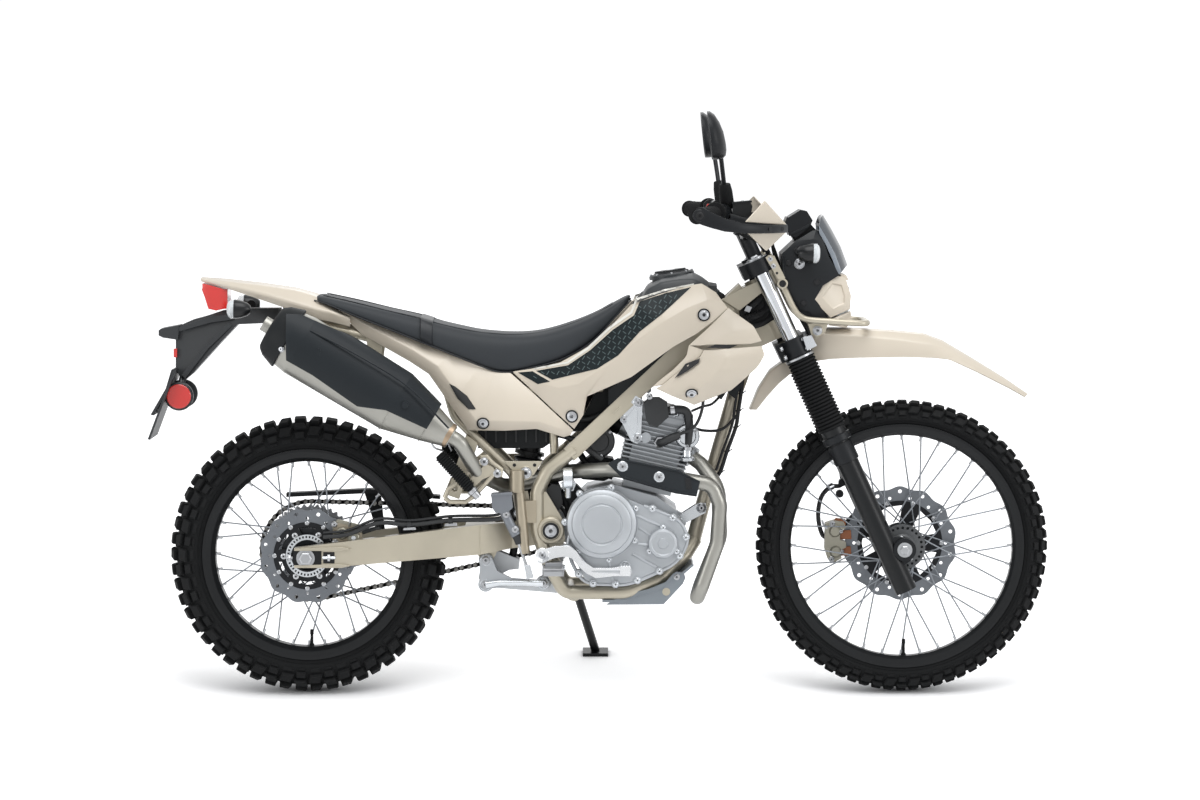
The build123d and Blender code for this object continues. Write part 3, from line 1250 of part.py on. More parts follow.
# ---------------------------------------------------------------- side stand
def side_stand():
    """Forged eye, leg and foot plate that lies flat on the floor when the machine leans."""
    pivot, foot, axis = stand_line()
    leg = rod(pivot + axis * 3, foot, 10)
    leg += rod(pivot - axis * STAND_EYE_HALF, pivot + axis * STAND_EYE_HALF, STAND_EYE_R)
    leg -= rod(pivot - axis * 60, pivot - axis * STAND_EYE_HALF, STAND_EYE_R + 4)
    half_x, half_y = 30, 24
    low = [(STAND_FOOT_X + dx, STAND_FOOT_Y + dy, ground_z(STAND_FOOT_Y + dy))
           for dx, dy in ((-half_x, -half_y), (half_x, -half_y), (half_x, half_y), (-half_x, half_y))]
    pad = extrude(make_face(Polyline(*low, close=True)), amount=8,
                  dir=(0, -sin(radians(LEAN)), cos(radians(LEAN))))
    return leg + pad


# ---------------------------------------------------------------- assembly and export
def build_machine():
    points, radii = exhaust_pipe()
    pipe = tube(points, HEADER_R, radii)
    pipe_clear = tube(points, HEADER_R + SEAT_GAP, radii)
    cover, guard = exhaust_shields(pipe_clear)
    nodes = {
        "main_frame": main_frame(),
        "subframe": subframe(),
        "swingarm": swingarm(),
        "axles": axles(),
        "shock_absorber": shock(),
        "suspension_linkage": linkage(),
        "crankcase": crankcase(),
        "cylinder": cylinder(),
        "engine_hangers": engine_hangers(),
        "intake": intake(),
        "exhaust_pipe": pipe,
        "muffler": muffler(),
        "exhaust_shields": group(cover, guard),
        "fuel_tank": fuel_tank(),
        "tank_covers": tank_covers(),
        "shrouds": shrouds(),
        "side_panels": side_panels(),
        "seat": seat(),
        "tail_fender": tail_fender(),
        "rear_carrier": rear_carrier(),
        "tail_lamp": tail_lamp(),
        "rear_signals": rear_signals(),
        "chain": chain(),
        "chain_guard": chain_guard(),
        "skid_plate": skid_plate(),
        "foot_controls": foot_controls(),
        "foot_pegs": foot_pegs(),
        "rear_brake": rear_brake(),
        "triple_clamps": triple_clamps(),
        "fork_tubes": fork_tubes(),
        "fork_boots": fork_boots(),
        "fork_lowers": fork_lowers(),
        "front_fender": front_fender(),
        "headlight_cowl": headlight_cowl(),
        "lamp_surround": lamp_surround(),
        "headlight": headlight(),
        "windscreen": windscreen(),
        "lamp_guard": lamp_guard(),
        "handlebar": handlebar(),
        "grips": grips(),
        "hand_guards": hand_guards(),
        "mirrors": mirrors(),
        "front_signals": front_signals(),
        "front_caliper": front_caliper(),
        "side_stand": side_stand(),
    }
    nodes.update(front_wheel())
    nodes.update(rear_wheel())
    return nodes


def parked(shape):
    """Lean the machine onto its side stand."""
    leaned = Rot(-LEAN, 0, 0) * shape
    return Pos(0, 0, LIFT) * leaned


def main():
    os.makedirs("parts", exist_ok=True)
    nodes = {name: parked(shape) for name, shape in build_machine().items()}
    boxes = [shape.bounding_box() for shape in nodes.values()]
    middle_x = (min(b.min.X for b in boxes) + max(b.max.X for b in boxes)) / 2
    middle_y = (min(b.min.Y for b in boxes) + max(b.max.Y for b in boxes)) / 2
    for name, shape in nodes.items():
        export_step(Pos(-middle_x, -middle_y, 0) * shape, f"parts/{name}.step")
    print(f"moved by {-middle_x:.4f}, {-middle_y:.4f}, lift {LIFT:.4f}")


main()
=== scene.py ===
"""A dual sport motorcycle leaning on its side stand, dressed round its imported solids.

Pieces are modelled in the machine's own upright frame, in millimetres: X forward from the rear axle, Y to the
rider's left, Z up from the floor. stand_up() then leans each of them over to the left as the machine is parked.
"""
import json
from math import acos, atan2, copysign, cos, hypot, pi, radians, sin

import bmesh
import bpy
from mathutils import Matrix, Vector
from mathutils.bvhtree import BVHTree


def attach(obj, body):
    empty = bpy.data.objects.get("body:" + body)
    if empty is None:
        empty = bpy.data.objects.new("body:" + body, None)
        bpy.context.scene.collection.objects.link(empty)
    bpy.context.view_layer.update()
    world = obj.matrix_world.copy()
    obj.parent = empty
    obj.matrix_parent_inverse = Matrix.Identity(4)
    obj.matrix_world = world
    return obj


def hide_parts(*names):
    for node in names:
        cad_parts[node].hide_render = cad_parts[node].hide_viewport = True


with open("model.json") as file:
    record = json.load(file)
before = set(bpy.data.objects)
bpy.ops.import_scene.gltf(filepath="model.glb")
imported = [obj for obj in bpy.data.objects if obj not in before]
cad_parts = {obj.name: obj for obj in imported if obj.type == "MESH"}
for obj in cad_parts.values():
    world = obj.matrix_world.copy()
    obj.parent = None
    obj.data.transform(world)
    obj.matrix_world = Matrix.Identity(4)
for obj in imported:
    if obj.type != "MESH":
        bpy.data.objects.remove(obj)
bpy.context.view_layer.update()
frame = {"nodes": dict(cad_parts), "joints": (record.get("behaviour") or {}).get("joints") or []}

# The studio: a photographer's view from the right with a long lens, whose camera leans with the machine, over a pale
# seamless floor whose glow is darkened by painted contact shadow near the machine. The light is a broad soft one
# overhead, a front and a back strip, and an even white room.
LEAN = radians(-10.0)
REAR_AXLE_Z = 318.0
rear_spin = next(j for j in frame["joints"] if j["name"] == "rear_wheel_spin")
PARKED = Matrix.Rotation(LEAN, 4, "X")
PARKED.translation = Vector(rear_spin["pos_m"]) - PARKED.to_3x3() @ Vector((0, 0, REAR_AXLE_Z / 1000))
CAMERA_AT = (670.8, -10000.0, 1300.0)
CAMERA_AIM = (670.8, 0.0, 672.0)
LENS = 130.7
FLOOR_SIZE = 40.0
FLOOR_GLOW = 0.68
PAINTED_SHADOW_REACH = 0.22
PAINTED_SHADOW_DEPTH = 2.2
ROOM = 0.41
LAMPS = (
    ("overhead", (0.3, -1.2, 4.2), (0.0, 0.0, 0.5), 3.0, 112.0),
    ("front_strip", (3.6, -2.2, 1.9), (0.2, 0.0, 0.6), 1.5, 40.0),
    ("rear_strip", (-3.4, -2.4, 1.5), (-0.3, 0.0, 0.6), 1.4, 26.0),
    ("far_side", (0.4, 3.8, 2.4), (0.0, 0.0, 0.6), 2.6, 26.0),
)


def stand_up(x, y, z):
    """A place on the upright machine, in millimetres, as a place in the parked frame, in metres."""
    return PARKED @ Vector((x / 1000, y / 1000, z / 1000))


def aimed(obj, place, target, up="Y"):
    """Puts obj at place, looking at target."""
    obj.location = place
    obj.rotation_euler = (Vector(target) - Vector(place)).to_track_quat("-Z", up).to_euler()


def put_object(name, data):
    """A new object in the scene."""
    made = bpy.data.objects.new(name, data)
    bpy.context.scene.collection.objects.link(made)
    return made


camera_data = bpy.data.cameras.new("camera")
camera_data.lens = LENS
camera_data.sensor_width = 36.0
camera_data.clip_end = 100.0
camera = put_object("camera", camera_data)
aimed(camera, stand_up(*CAMERA_AT), stand_up(*CAMERA_AIM))
bpy.context.scene.camera = camera
bpy.context.scene.view_settings.view_transform = "Standard"

for lamp_name, place, target, size, power in LAMPS:
    lamp_data = bpy.data.lights.new(lamp_name, "AREA")
    lamp_data.size = size
    lamp_data.energy = power
    lamp = put_object(lamp_name, lamp_data)
    aimed(lamp, place, target)


def put_node(tree, kind, inputs=(), operation=None):
    """Adds a shader node. inputs gives its sockets a value each, or another node's output to link."""
    made = tree.nodes.new("ShaderNode" + kind)
    if operation:
        made.operation = operation
    for name, value in dict(inputs).items():
        if isinstance(value, bpy.types.NodeSocket):
            tree.links.new(value, made.inputs[name])
        else:
            made.inputs[name].default_value = value
    return made


def seen_directly(tree):
    """1 where a ray comes from the camera or by way of metal or glass, else 0."""
    path = put_node(tree, "LightPath").outputs
    unlit = put_node(tree, "Math", {0: path["Is Camera Ray"], 1: path["Is Glossy Ray"]}, "MAXIMUM").outputs[0]
    return put_node(tree, "Math", {0: unlit, 1: path["Is Transmission Ray"]}, "MAXIMUM").outputs[0]


world = bpy.data.worlds.new("room")
bpy.context.scene.world = world
world.use_nodes = True
room = world.node_tree
room.nodes.clear()
room_light = put_node(room, "Background", {"Color": (0.96, 0.98, 1.0, 1), "Strength": ROOM})
white = put_node(room, "Background", {"Color": (1, 1, 1, 1), "Strength": 1.0})
room_mix = put_node(room, "MixShader", {0: seen_directly(room), 1: room_light.outputs[0], 2: white.outputs[0]})
put_node(room, "OutputWorld", {"Surface": room_mix.outputs[0]})

floor_mesh = bpy.data.meshes.new("floor")
half = FLOOR_SIZE / 2
floor_mesh.from_pydata([(-half, -half, 0), (half, -half, 0), (half, half, 0), (-half, half, 0)], [], [(0, 1, 2, 3)])
floor = put_object("floor", floor_mesh)
floor_paint = bpy.data.materials.new("seamless floor")
floor_paint.use_nodes = True
paint = floor_paint.node_tree
paint.nodes.clear()
lit = put_node(paint, "BsdfDiffuse", {"Color": (0.86, 0.86, 0.87, 1)})
# Painted contact shadow: ambient occlusion darkens the floor's glow near the tyres and other parts.
painted_contact_shadow = put_node(paint, "AmbientOcclusion", {"Distance": PAINTED_SHADOW_REACH})
painted_contact_shadow.samples = 8
deepened_painted_shadow = put_node(paint, "Math", {0: painted_contact_shadow.outputs["AO"], 1: PAINTED_SHADOW_DEPTH}, "POWER")
shaded = put_node(paint, "Math", {0: seen_directly(paint), 1: deepened_painted_shadow.outputs[0]}, "MULTIPLY")
lifted = put_node(paint, "Math", {0: shaded.outputs[0], 1: FLOOR_GLOW}, "MULTIPLY")
glow = put_node(paint, "Emission", {"Color": (1, 1, 1, 1), "Strength": lifted.outputs[0]})
floor_sum = put_node(paint, "AddShader", {0: lit.outputs[0], 1: glow.outputs[0]})
put_node(paint, "OutputMaterial", {"Surface": floor_sum.outputs[0]})
floor_mesh.materials.append(floor_paint)


# The painted and moulded finishes that several pieces share. Each has slow changes of tone, a fine grain that
# roughens the gloss, and lighter worn edges, at the scale of the real finish.
def srgb(red, green, blue):
    """A colour written as 0 to 255, as the linear colour that a shader takes."""
    return tuple(((v / 255 + 0.055) / 1.055) ** 2.4 if v > 10 else v / 255 / 12.92 for v in (red, green, blue))


def finish(name, colour, rough, metal=0.0, grain=0.02, grain_mm=0.7, tone=0.08, coat=0.0, wear=0.0, level=0.5):
    """A material: colour from 0 to 255, roughness, and the depth and width of its grain in millimetres."""
    colour = srgb(*colour)
    made = bpy.data.materials.new(name)
    made.use_nodes = True
    tree = made.node_tree
    shader = tree.nodes["Principled BSDF"]
    where = put_node(tree, "TexCoord").outputs["Object"]
    slow = put_node(tree, "TexNoise", {"Vector": where, "Scale": 9.0, "Detail": 5.0}).outputs["Fac"]
    ramp = put_node(tree, "ValToRGB", {"Fac": slow})
    for stop, place, share in zip(ramp.color_ramp.elements, (0.3, 0.7), (1 - tone, 1 + tone)):
        stop.position = place
        stop.color = (*[min(c * share, 1) for c in colour], 1)
    tinted = ramp.outputs["Color"]
    if wear:
        corner = put_node(tree, "NewGeometry").outputs["Pointiness"]
        worn = put_node(tree, "MapRange", {"Value": corner, "From Min": 0.53, "From Max": 0.62, "To Max": wear})
        pale = (*[min(c * 1.7 + 0.05, 1) for c in colour], 1)
        mixed = put_node(tree, "MixRGB", {"Fac": worn.outputs["Result"], "Color1": tinted, "Color2": pale})
        tinted = mixed.outputs["Color"]
    fine = put_node(tree, "TexNoise", {"Vector": where, "Scale": 1000.0 / grain_mm / 2, "Detail": 3.0})
    gloss = put_node(tree, "MapRange", {"Value": slow, "To Min": max(rough - 0.06, 0.02), "To Max": rough + 0.06})
    bump = put_node(tree, "Bump", {"Strength": 0.6, "Distance": grain / 1000, "Height": fine.outputs["Fac"]})
    sockets = {"Metallic": metal, "Specular IOR Level": level, "Coat Weight": coat, "Coat Roughness": 0.18}
    for socket, value in sockets.items():
        shader.inputs[socket].default_value = value
    tree.links.new(tinted, shader.inputs["Base Color"])
    tree.links.new(gloss.outputs["Result"], shader.inputs["Roughness"])
    tree.links.new(bump.outputs["Normal"], shader.inputs["Normal"])
    return made


def dress(node, material):
    """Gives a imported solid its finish."""
    for place in frame["nodes"][node].material_slots:
        place.material = material


champagne = finish("champagne paint", (176, 169, 152), 0.38, metal=0.55, coat=0.3, wear=0.2)
tan = finish("tan panel plastic", (209, 199, 183), 0.34, grain=0.012, tone=0.02, coat=0.15)
black_plastic = finish("black grained plastic", (21, 24, 26), 0.52, grain=0.05, grain_mm=0.9, wear=0.08, level=0.2)
black_metal = finish("satin black metal", (17, 19, 21), 0.38, grain=0.01, coat=0.05, wear=0.06, level=0.22)
alloy = finish("blasted alloy", (172, 175, 178), 0.42, metal=0.85, grain=0.06, grain_mm=1.2, wear=0.25)
steel = finish("plated steel", (168, 170, 173), 0.3, metal=1.0, grain=0.01)
disc_steel = finish("ground disc steel", (136, 140, 145), 0.36, metal=0.9)
chrome = finish("hard chrome", (205, 208, 212), 0.1, metal=1.0, grain=0.002)
rubber = finish("tyre rubber", (18, 19, 20), 0.72, grain=0.08, grain_mm=1.4, wear=0.1, level=0.15)
shield_paint = finish("blue-grey shield", (28, 33, 37), 0.46, grain=0.03, wear=0.12, level=0.22)
muffler_steel = finish("satin muffler steel", (150, 149, 143), 0.36, metal=0.8)
cover_vinyl = finish("seat vinyl", (29, 33, 37), 0.6, grain=0.12, grain_mm=1.6, level=0.2)
red_lens = finish("red lens", (214, 46, 40), 0.16, grain=0.01, coat=0.6)
signal_black = finish("signal black", (20, 22, 24), 0.3, level=0.3)
smoke = finish("smoked visor", (44, 47, 50), 0.12, grain=0.005, coat=0.5)
bronze_alloy = finish("champagne caliper", (158, 149, 132), 0.4, metal=0.8, grain=0.05)

DRESSES = (
    (champagne, "main_frame subframe swingarm triple_clamps lamp_guard"),
    (tan, "tank_covers shrouds side_panels tail_fender front_fender lamp_surround hand_guards"),
    (black_plastic, "intake fuel_tank rear_carrier chain_guard headlight_cowl mirrors"),
    (black_metal, "fork_lowers handlebar front_rim rear_rim front_hub rear_hub side_stand shock_absorber"),
    (alloy, "suspension_linkage crankcase cylinder engine_hangers skid_plate foot_controls"),
    (steel, "axles foot_pegs chain rear_sprocket"),
    (disc_steel, "front_disc rear_disc"),
    (chrome, "fork_tubes"),
    (rubber, "front_tyre rear_tyre fork_boots grips"),
    (shield_paint, "exhaust_shields"),
    (muffler_steel, "muffler exhaust_pipe"),
    (cover_vinyl, "seat"),
    (red_lens, "tail_lamp"),
    (signal_black, "rear_signals front_signals"),
    (smoke, "windscreen headlight"),
    (bronze_alloy, "rear_brake front_caliper"),
)
for material, names in DRESSES:
    for node in names.split():
        dress(node, material)


# Welded steel frame with two spars, a single down tube and a bolted seat frame, all in champagne paint. Mesh pieces
# are lists of (points, faces, material) in upright millimetres, which piece() joins and leans over with the machine.
def lathe(profile, origin, axis, material, sides=32, closed=False):
    """Turns (radius, height) pairs about an axis. A pair on the axis closes the end."""
    axis = Vector(axis).normalized()
    frame_to = axis.to_track_quat("Z", "Y").to_matrix()
    origin = Vector(origin)
    points, rings = [], []
    for radius, height in profile:
        if radius < 1e-6:
            rings.append([len(points)] * sides)
            points.append(origin + frame_to @ Vector((0, 0, height)))
            continue
        rings.append(list(range(len(points), len(points) + sides)))
        for n in range(sides):
            turn = 2 * pi * n / sides
            points.append(origin + frame_to @ Vector((radius * cos(turn), radius * sin(turn), height)))
    faces = []
    pairs = list(zip(rings, rings[1:]))
    if closed:
        pairs.append((rings[-1], rings[0]))
    for low, high in pairs:
        for n in range(sides):
            corners = (low[n], low[(n + 1) % sides], high[(n + 1) % sides], high[n])
            face = tuple(dict.fromkeys(corners))
            if len(face) > 2:
                faces.append(face)
    if not closed:
        for ring, flip in ((rings[0], True), (rings[-1], False)):
            if len(set(ring)) > 2:
                faces.append(tuple(reversed(ring)) if flip else tuple(ring))
    return points, faces, material


def collar(section, origin, axis, material, sides=32):
    """A ring, as a closed (radius, height) section turned about an axis."""
    return lathe(section, origin, axis, material, sides, True)


def rod(radius, low, high, origin, axis, material, sides=32):
    """A plain round bar between two heights along an axis."""
    return lathe([(0, low), (radius, low), (radius, high), (0, high)], origin, axis, material, sides)


def smooth_line(points, steps=6):
    """A smooth line through the given points."""
    points = [Vector(p) for p in points]
    ends = [points[0] * 2 - points[1], *points, points[-1] * 2 - points[-2]]
    line = []
    for a, b, c, d in zip(ends, ends[1:], ends[2:], ends[3:]):
        for n in range(steps):
            t = n / steps
            line.append(0.5 * (b * 2 + (c - a) * t + (a * 2 - b * 5 + c * 4 - d) * t * t + (b * 3 - a - c * 3 + d)
                * t ** 3))
    line.append(points[-1])
    return line


def sweep(line, radius, material, sides=12, squash=1.0):
    """A tube along a line. radius is one value, or one for each point."""
    line = [Vector(p) for p in line]
    radii = radius if isinstance(radius, (list, tuple)) else [radius] * len(line)
    points, faces = [], []
    normal = None
    for n, at in enumerate(line):
        ahead = (line[min(n + 1, len(line) - 1)] - line[max(n - 1, 0)]).normalized()
        if normal is None:
            normal = ahead.orthogonal().normalized()
        normal = (normal - ahead * normal.dot(ahead)).normalized()
        across = ahead.cross(normal)
        for k in range(sides):
            turn = 2 * pi * k / sides
            points.append(at + (normal * cos(turn) * squash + across * sin(turn)) * radii[n])
    for n in range(len(line) - 1):
        for k in range(sides):
            a, b = n * sides + k, n * sides + (k + 1) % sides
            faces.append((a, b, b + sides, a + sides))
    faces += [tuple(reversed(range(sides))), tuple(range(len(points) - sides, len(points)))]
    return points, faces, material


def tube(points, steps, radius, material, sides=12):
    """A tube along a smooth line through the given points."""
    return sweep(smooth_line(points, steps), radius, material, sides)


def slab(outline, y_from, y_to, material):
    """A plate with an (x, z) outline, between two lateral planes."""
    count = len(outline)
    points = [Vector((x, y, z)) for y in (y_from, y_to) for x, z in outline]
    faces = [tuple(range(count)), tuple(reversed(range(count, 2 * count)))]
    faces += [(n, n + count, (n + 1) % count + count, (n + 1) % count) for n in range(count)]
    return points, faces, material


def loft(rings, material, cap=True):
    """A skin over rings of equally many points."""
    count = len(rings[0])
    points = [Vector(p) for ring in rings for p in ring]
    faces = []
    for row in range(len(rings) - 1):
        for n in range(count):
            a, b = row * count + n, row * count + (n + 1) % count
            faces.append((a, b, b + count, a + count))
    if cap:
        faces += [tuple(reversed(range(count))), tuple(range(len(points) - count, len(points)))]
    return points, faces, material


def flipped(part):
    """The same part on the machine's other side."""
    points, faces, material = part
    return [Vector((p[0], -p[1], p[2])) for p in points], [tuple(reversed(f)) for f in faces], material


def bolt(at, axis, material, radius=6.0, height=5.0, washer=None):
    """A flange bolt with a hexagon socket darkened by painted shade, or a washer under it of another material."""
    parts = [
        lathe([(0, 0), (radius * 1.25, 0), (radius * 1.25, height * 0.25), (radius * 0.95, height * 0.4),
            (radius * 0.92, height * 0.85), (radius * 0.75, height), (radius * 0.5, height)], at, axis, material, 18),
        lathe([(radius * 0.5, height), (radius * 0.5, height * 0.45), (0, height * 0.45)], at, axis, black_parts_and_hole_shade, 6),
    ]
    if washer:
        ring_radius, ring_material = washer
        parts.append(lathe([(radius * 1.2, -0.2), (ring_radius, -0.2), (ring_radius, 1.6), (ring_radius - 1.4, 2.4),
            (radius * 1.3, 1.0)], at, axis, ring_material, 28))
    return parts


def soften(made, width, segments, angle):
    """Rounds each edge that turns by more than an angle, in millimetres and degrees."""
    edge = made.modifiers.new("rounded edges", "BEVEL")
    edge.width = width / 1000
    edge.segments = segments
    edge.limit_method = "ANGLE"
    edge.angle_limit = radians(angle)
    return edge


def thicken(made, wall):
    """Gives a skin its wall, inward."""
    shell = made.modifiers.new("wall", "SOLIDIFY")
    shell.thickness = wall / 1000
    shell.offset = -1


def piece(name, parts, body, hides=(), angle=32.0, bevel=0.0, subdivide=0, shell=0.0):
    """Joins parts into one object on a body of the machine, and hides the imported solids it stands for."""
    points, faces, marks, materials = [], [], [], []
    for part_points, part_faces, material in parts:
        if material not in materials:
            materials.append(material)
        start = len(points)
        points += [Vector(p) / 1000 for p in part_points]
        faces += [tuple(start + i for i in face) for face in part_faces]
        marks += [materials.index(material)] * len(part_faces)
    mesh = bpy.data.meshes.new(name)
    mesh.from_pydata(points, [], faces)
    for material in materials:
        mesh.materials.append(material)
    mesh.polygons.foreach_set("material_index", marks)
    solid = bmesh.new()
    solid.from_mesh(mesh)
    bmesh.ops.recalc_face_normals(solid, faces=solid.faces)
    solid.transform(PARKED)
    solid.to_mesh(mesh)
    solid.free()
    mesh.shade_smooth()
    mesh.set_sharp_from_angle(angle=radians(angle))
    made = put_object(name, mesh)
    if subdivide:
        finer = made.modifiers.new("finer", "SUBSURF")
        finer.levels = finer.render_levels = subdivide
    if shell:
        thicken(made, shell)
    if bevel:
        soften(made, bevel, 2, 30).harden_normals = True
    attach(made, body)
    if hides:
        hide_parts(*hides)
    return made


RIGHT = (0, -1, 0)
LEFT = (0, 1, 0)
SIDES = ((-1, RIGHT), (1, LEFT))
# Real black fittings share this finish with the painted shade in bolt sockets, holes and slots.
black_parts_and_hole_shade = finish("black parts and painted hole shade", (24, 25, 27), 0.5, metal=0.4)


# Wire wheels: knobbly off-road tyres of moulded rubber on black alloy rims. The carcass is turned about the axle
# with raised rings on its walls, and rows of blocks stand on it, each with a wide foot and a chamfered top.
def axle_of(joint):
    """(x, z) of a wheel's axle on the upright machine."""
    place = PARKED.inverted() @ Vector(next(j["pos_m"] for j in frame["joints"] if j["name"] == joint))
    return place.x * 1000, place.z * 1000


FRONT_AXLE = axle_of("front_wheel_spin")
REAR_AXLE = axle_of("rear_wheel_spin")


def carcass_at(tyre, lean_deg):
    """(radius, y, outward radius part, outward y part) on the tread side of a tyre's section."""
    turn = radians(lean_deg)
    sideways, outward = sin(turn), cos(turn)
    y = tyre["half"] * sideways
    radius = tyre["wide_r"] + tyre["rise"] * outward
    out_y, out_r = sideways / tyre["half"], outward / tyre["rise"]
    size = hypot(out_y, out_r)
    return radius, y, out_r / size, out_y / size


def lug(tyre, centre, turn_deg, width_deg, low, high, depth, skew=0.0):
    """One tread block between two places on the section, with a foot, a waist and a chamfered top."""
    points = []
    for share, rise in ((1.0, -1.5), (0.9, depth * 0.45), (0.84, depth - 1.3), (0.72, depth)):
        middle = (low + high) / 2
        for across, along in ((low, -1), (high, -1), (high, 1), (low, 1)):
            lean_deg = middle + (across - middle) * (0.6 + 0.4 * share)
            radius, y, out_r, out_y = carcass_at(tyre, lean_deg)
            turn = radians(turn_deg + along * share * width_deg / 2 + skew * (across - middle) / 20)
            reach = radius + rise * out_r
            points.append(Vector((centre[0] + reach * cos(turn), y + rise * out_y, centre[1] + reach * sin(turn))))
    faces = []
    for row in range(3):
        for n in range(4):
            a, b = row * 4 + n, row * 4 + (n + 1) % 4
            faces.append((a, b, b + 4, a + 4))
    faces.append((12, 13, 14, 15))
    return points, faces, rubber


def tyre_piece(name, tyre, centre, body, hides):
    """A whole tyre: carcass with its wall rings, then every row of blocks round it."""
    section = [(tyre["rim_r"] - 3, tyre["bead"] - 6), (tyre["rim_r"] + 2, tyre["bead"] - 1)]
    for share, out in tyre["wall"]:
        section.append((tyre["rim_r"] + 4 + share * (tyre["wide_r"] - tyre["rim_r"] - 4), out))
    for lean_deg in range(88, 0, -8):
        radius, y, _, _ = carcass_at(tyre, lean_deg)
        section.append((radius, y))
    profile = section + [(carcass_at(tyre, 0)[0], 0.0)] + [(r, -y) for r, y in reversed(section)]
    parts = [collar([(r, y) for r, y in profile], (centre[0], 0, centre[1]), LEFT, rubber, 144)]
    for offset, low, high, share, depth, skew in tyre["rows"]:
        for n in range(tyre["pitches"]):
            pitch = 360 / tyre["pitches"]
            for side in (-1, 1):
                spread = (low * side, high * side) if side > 0 else (high * side, low * side)
                parts.append(lug(tyre, centre, (n + offset) * pitch, pitch * share, *spread, depth, skew * side))
    return piece(name, parts, body, hides, angle=28)


FRONT_TYRE = {
    "half": 34.5, "wide_r": 295.0, "rise": 32.7, "rim_r": 281.0, "bead": 26.0, "pitches": 36,
    "wall": ((0.0, 27.5), (0.2, 29.5), (0.32, 29.2), (0.45, 31.6), (0.62, 32.8), (0.8, 34.0)),
    # pitch offset, from, to (degrees on the section), share of the pitch, depth, skew
    "rows": ((0.0, 2.0, 19.0, 0.42, 8.5, 0.0), (0.5, 8.0, 30.0, 0.36, 8.2, 0.8), (0.02, 36.0, 52.0, 0.46, 8.6, -1.0),
             (0.52, 46.0, 70.0, 0.46, 8.8, 1.0), (0.02, 62.0, 78.0, 0.36, 6.0, 0.0),
             (0.52, 78.0, 89.0, 0.4, 2.2, 0.0), (0.02, 82.0, 88.0, 0.3, 1.8, 0.0)),
}
REAR_TYRE = {
    "half": 46.5, "wide_r": 261.0, "rise": 43.4, "rim_r": 243.0, "bead": 36.0, "pitches": 27,
    "wall": ((0.0, 37.5), (0.2, 40.0), (0.32, 39.6), (0.45, 42.4), (0.62, 44.0), (0.8, 45.6)),
    "rows": ((0.0, 3.0, 24.0, 0.4, 13.6, 0.0), (0.5, 12.0, 34.0, 0.36, 13.2, 1.0),
             (0.0, 38.0, 54.0, 0.44, 12.6, -1.2), (0.5, 48.0, 70.0, 0.46, 11.0, 1.0),
             (0.0, 62.0, 79.0, 0.38, 6.5, 0.0), (0.5, 78.0, 89.5, 0.42, 2.6, 0.0), (0.0, 83.0, 89.0, 0.32, 2.2, 0.0)),
}
tyre_piece("front_tyre_knobs", FRONT_TYRE, FRONT_AXLE, "front_wheel", ("front_tyre",))
tyre_piece("rear_tyre_knobs", REAR_TYRE, REAR_AXLE, "rear_wheel", ("rear_tyre",))

# Bright plated spoke nipples at the rim, and the valve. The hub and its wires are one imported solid: the
# barrel is black and the wires beyond the flange are bright, told apart by their distance from the axle.
NIPPLES = 36
for body, centre, rim_inner, reach in (("front_wheel", FRONT_AXLE, 255.0, 13.0),
        ("rear_wheel", REAR_AXLE, 214.0, 13.0)):
    parts = []
    for n in range(NIPPLES // 2):
        for side in (-1, 1):
            turn = radians(n * 20 + (10 if side > 0 else 0))
            out = Vector((cos(turn), 0, sin(turn)))
            seat_at = Vector((centre[0], side * 4.0, centre[1])) + out * (rim_inner + 1)
            parts += [
                lathe([(0, 0), (4.6, 0), (4.2, 3.2), (2.9, 4.2), (2.7, reach), (0, reach)], seat_at, -out, steel, 10),
                lathe([(7.5, -2), (6.4, 1.4), (4.4, 2.0)], seat_at, -out, black_metal, 14),
            ]
    valve_at = Vector((centre[0] + 6, 0, centre[1] - rim_inner))
    parts.append(lathe([(0, 0), (6, 0), (5.5, 4), (3.4, 6), (3.2, 26), (4.2, 27), (4.2, 36), (3, 38), (0, 38)],
        valve_at, (0, 0, 1), rubber, 14))
    piece(body + "_nipples", parts, body)


def beyond(node, centre, radius, near, far):
    """Mixes two finishes of a turned solid by the distance from its axle."""
    made = near.copy()
    made.name = node + " finish"
    tree = made.node_tree
    shader = tree.nodes["Principled BSDF"]
    shader.inputs["Metallic"].default_value = 1.0
    colour = shader.inputs["Base Color"]
    upright = put_node(tree, "Mapping", {
        "Vector": put_node(tree, "TexCoord").outputs["Object"], "Location": stand_up(centre[0], 0, centre[1]),
        "Rotation": (LEAN, 0, 0), "Scale": (1, 1e6, 1)})
    upright.vector_type = "TEXTURE"
    length = put_node(tree, "VectorMath", {0: upright.outputs["Vector"]}, "LENGTH")
    past = put_node(tree, "Math", {0: length.outputs["Value"], 1: radius / 1000}, "GREATER_THAN")
    mix = put_node(tree, "MixRGB", {"Fac": past.outputs[0], "Color1": colour.links[0].from_socket,
        "Color2": (*far, 1)})
    tree.links.new(mix.outputs["Color"], colour)
    dress(node, made)


hub_black = finish("black hub alloy", (46, 48, 50), 0.38, metal=1.0, grain=0.03, wear=0.2)
beyond("front_hub", FRONT_AXLE, 53.5, hub_black, srgb(128, 132, 137))
beyond("rear_hub", REAR_AXLE, 65.5, hub_black, srgb(128, 132, 137))


# The engine: bare cast alloy cases with a round clutch cover and a small starter cover on the right, a finned barrel
# and head, an alloy head hanger, and black rubber hoses. Cast skins are matt, machined faces and bolts bright.
cast_alloy = finish("matt cast alloy", (172, 176, 180), 0.4, metal=0.55, grain=0.12, tone=0.06)
bright_alloy = finish("machined alloy", (200, 204, 208), 0.22, metal=0.9, grain=0.03)
engine_rubber = finish("black engine rubber", (30, 32, 34), 0.55, grain=0.05)
dress("crankcase", cast_alloy)
dress("cylinder", cast_alloy)
dress("engine_hangers", bright_alloy)
CLUTCH, STARTER = (675, -133, 400), (814, -135, 355)


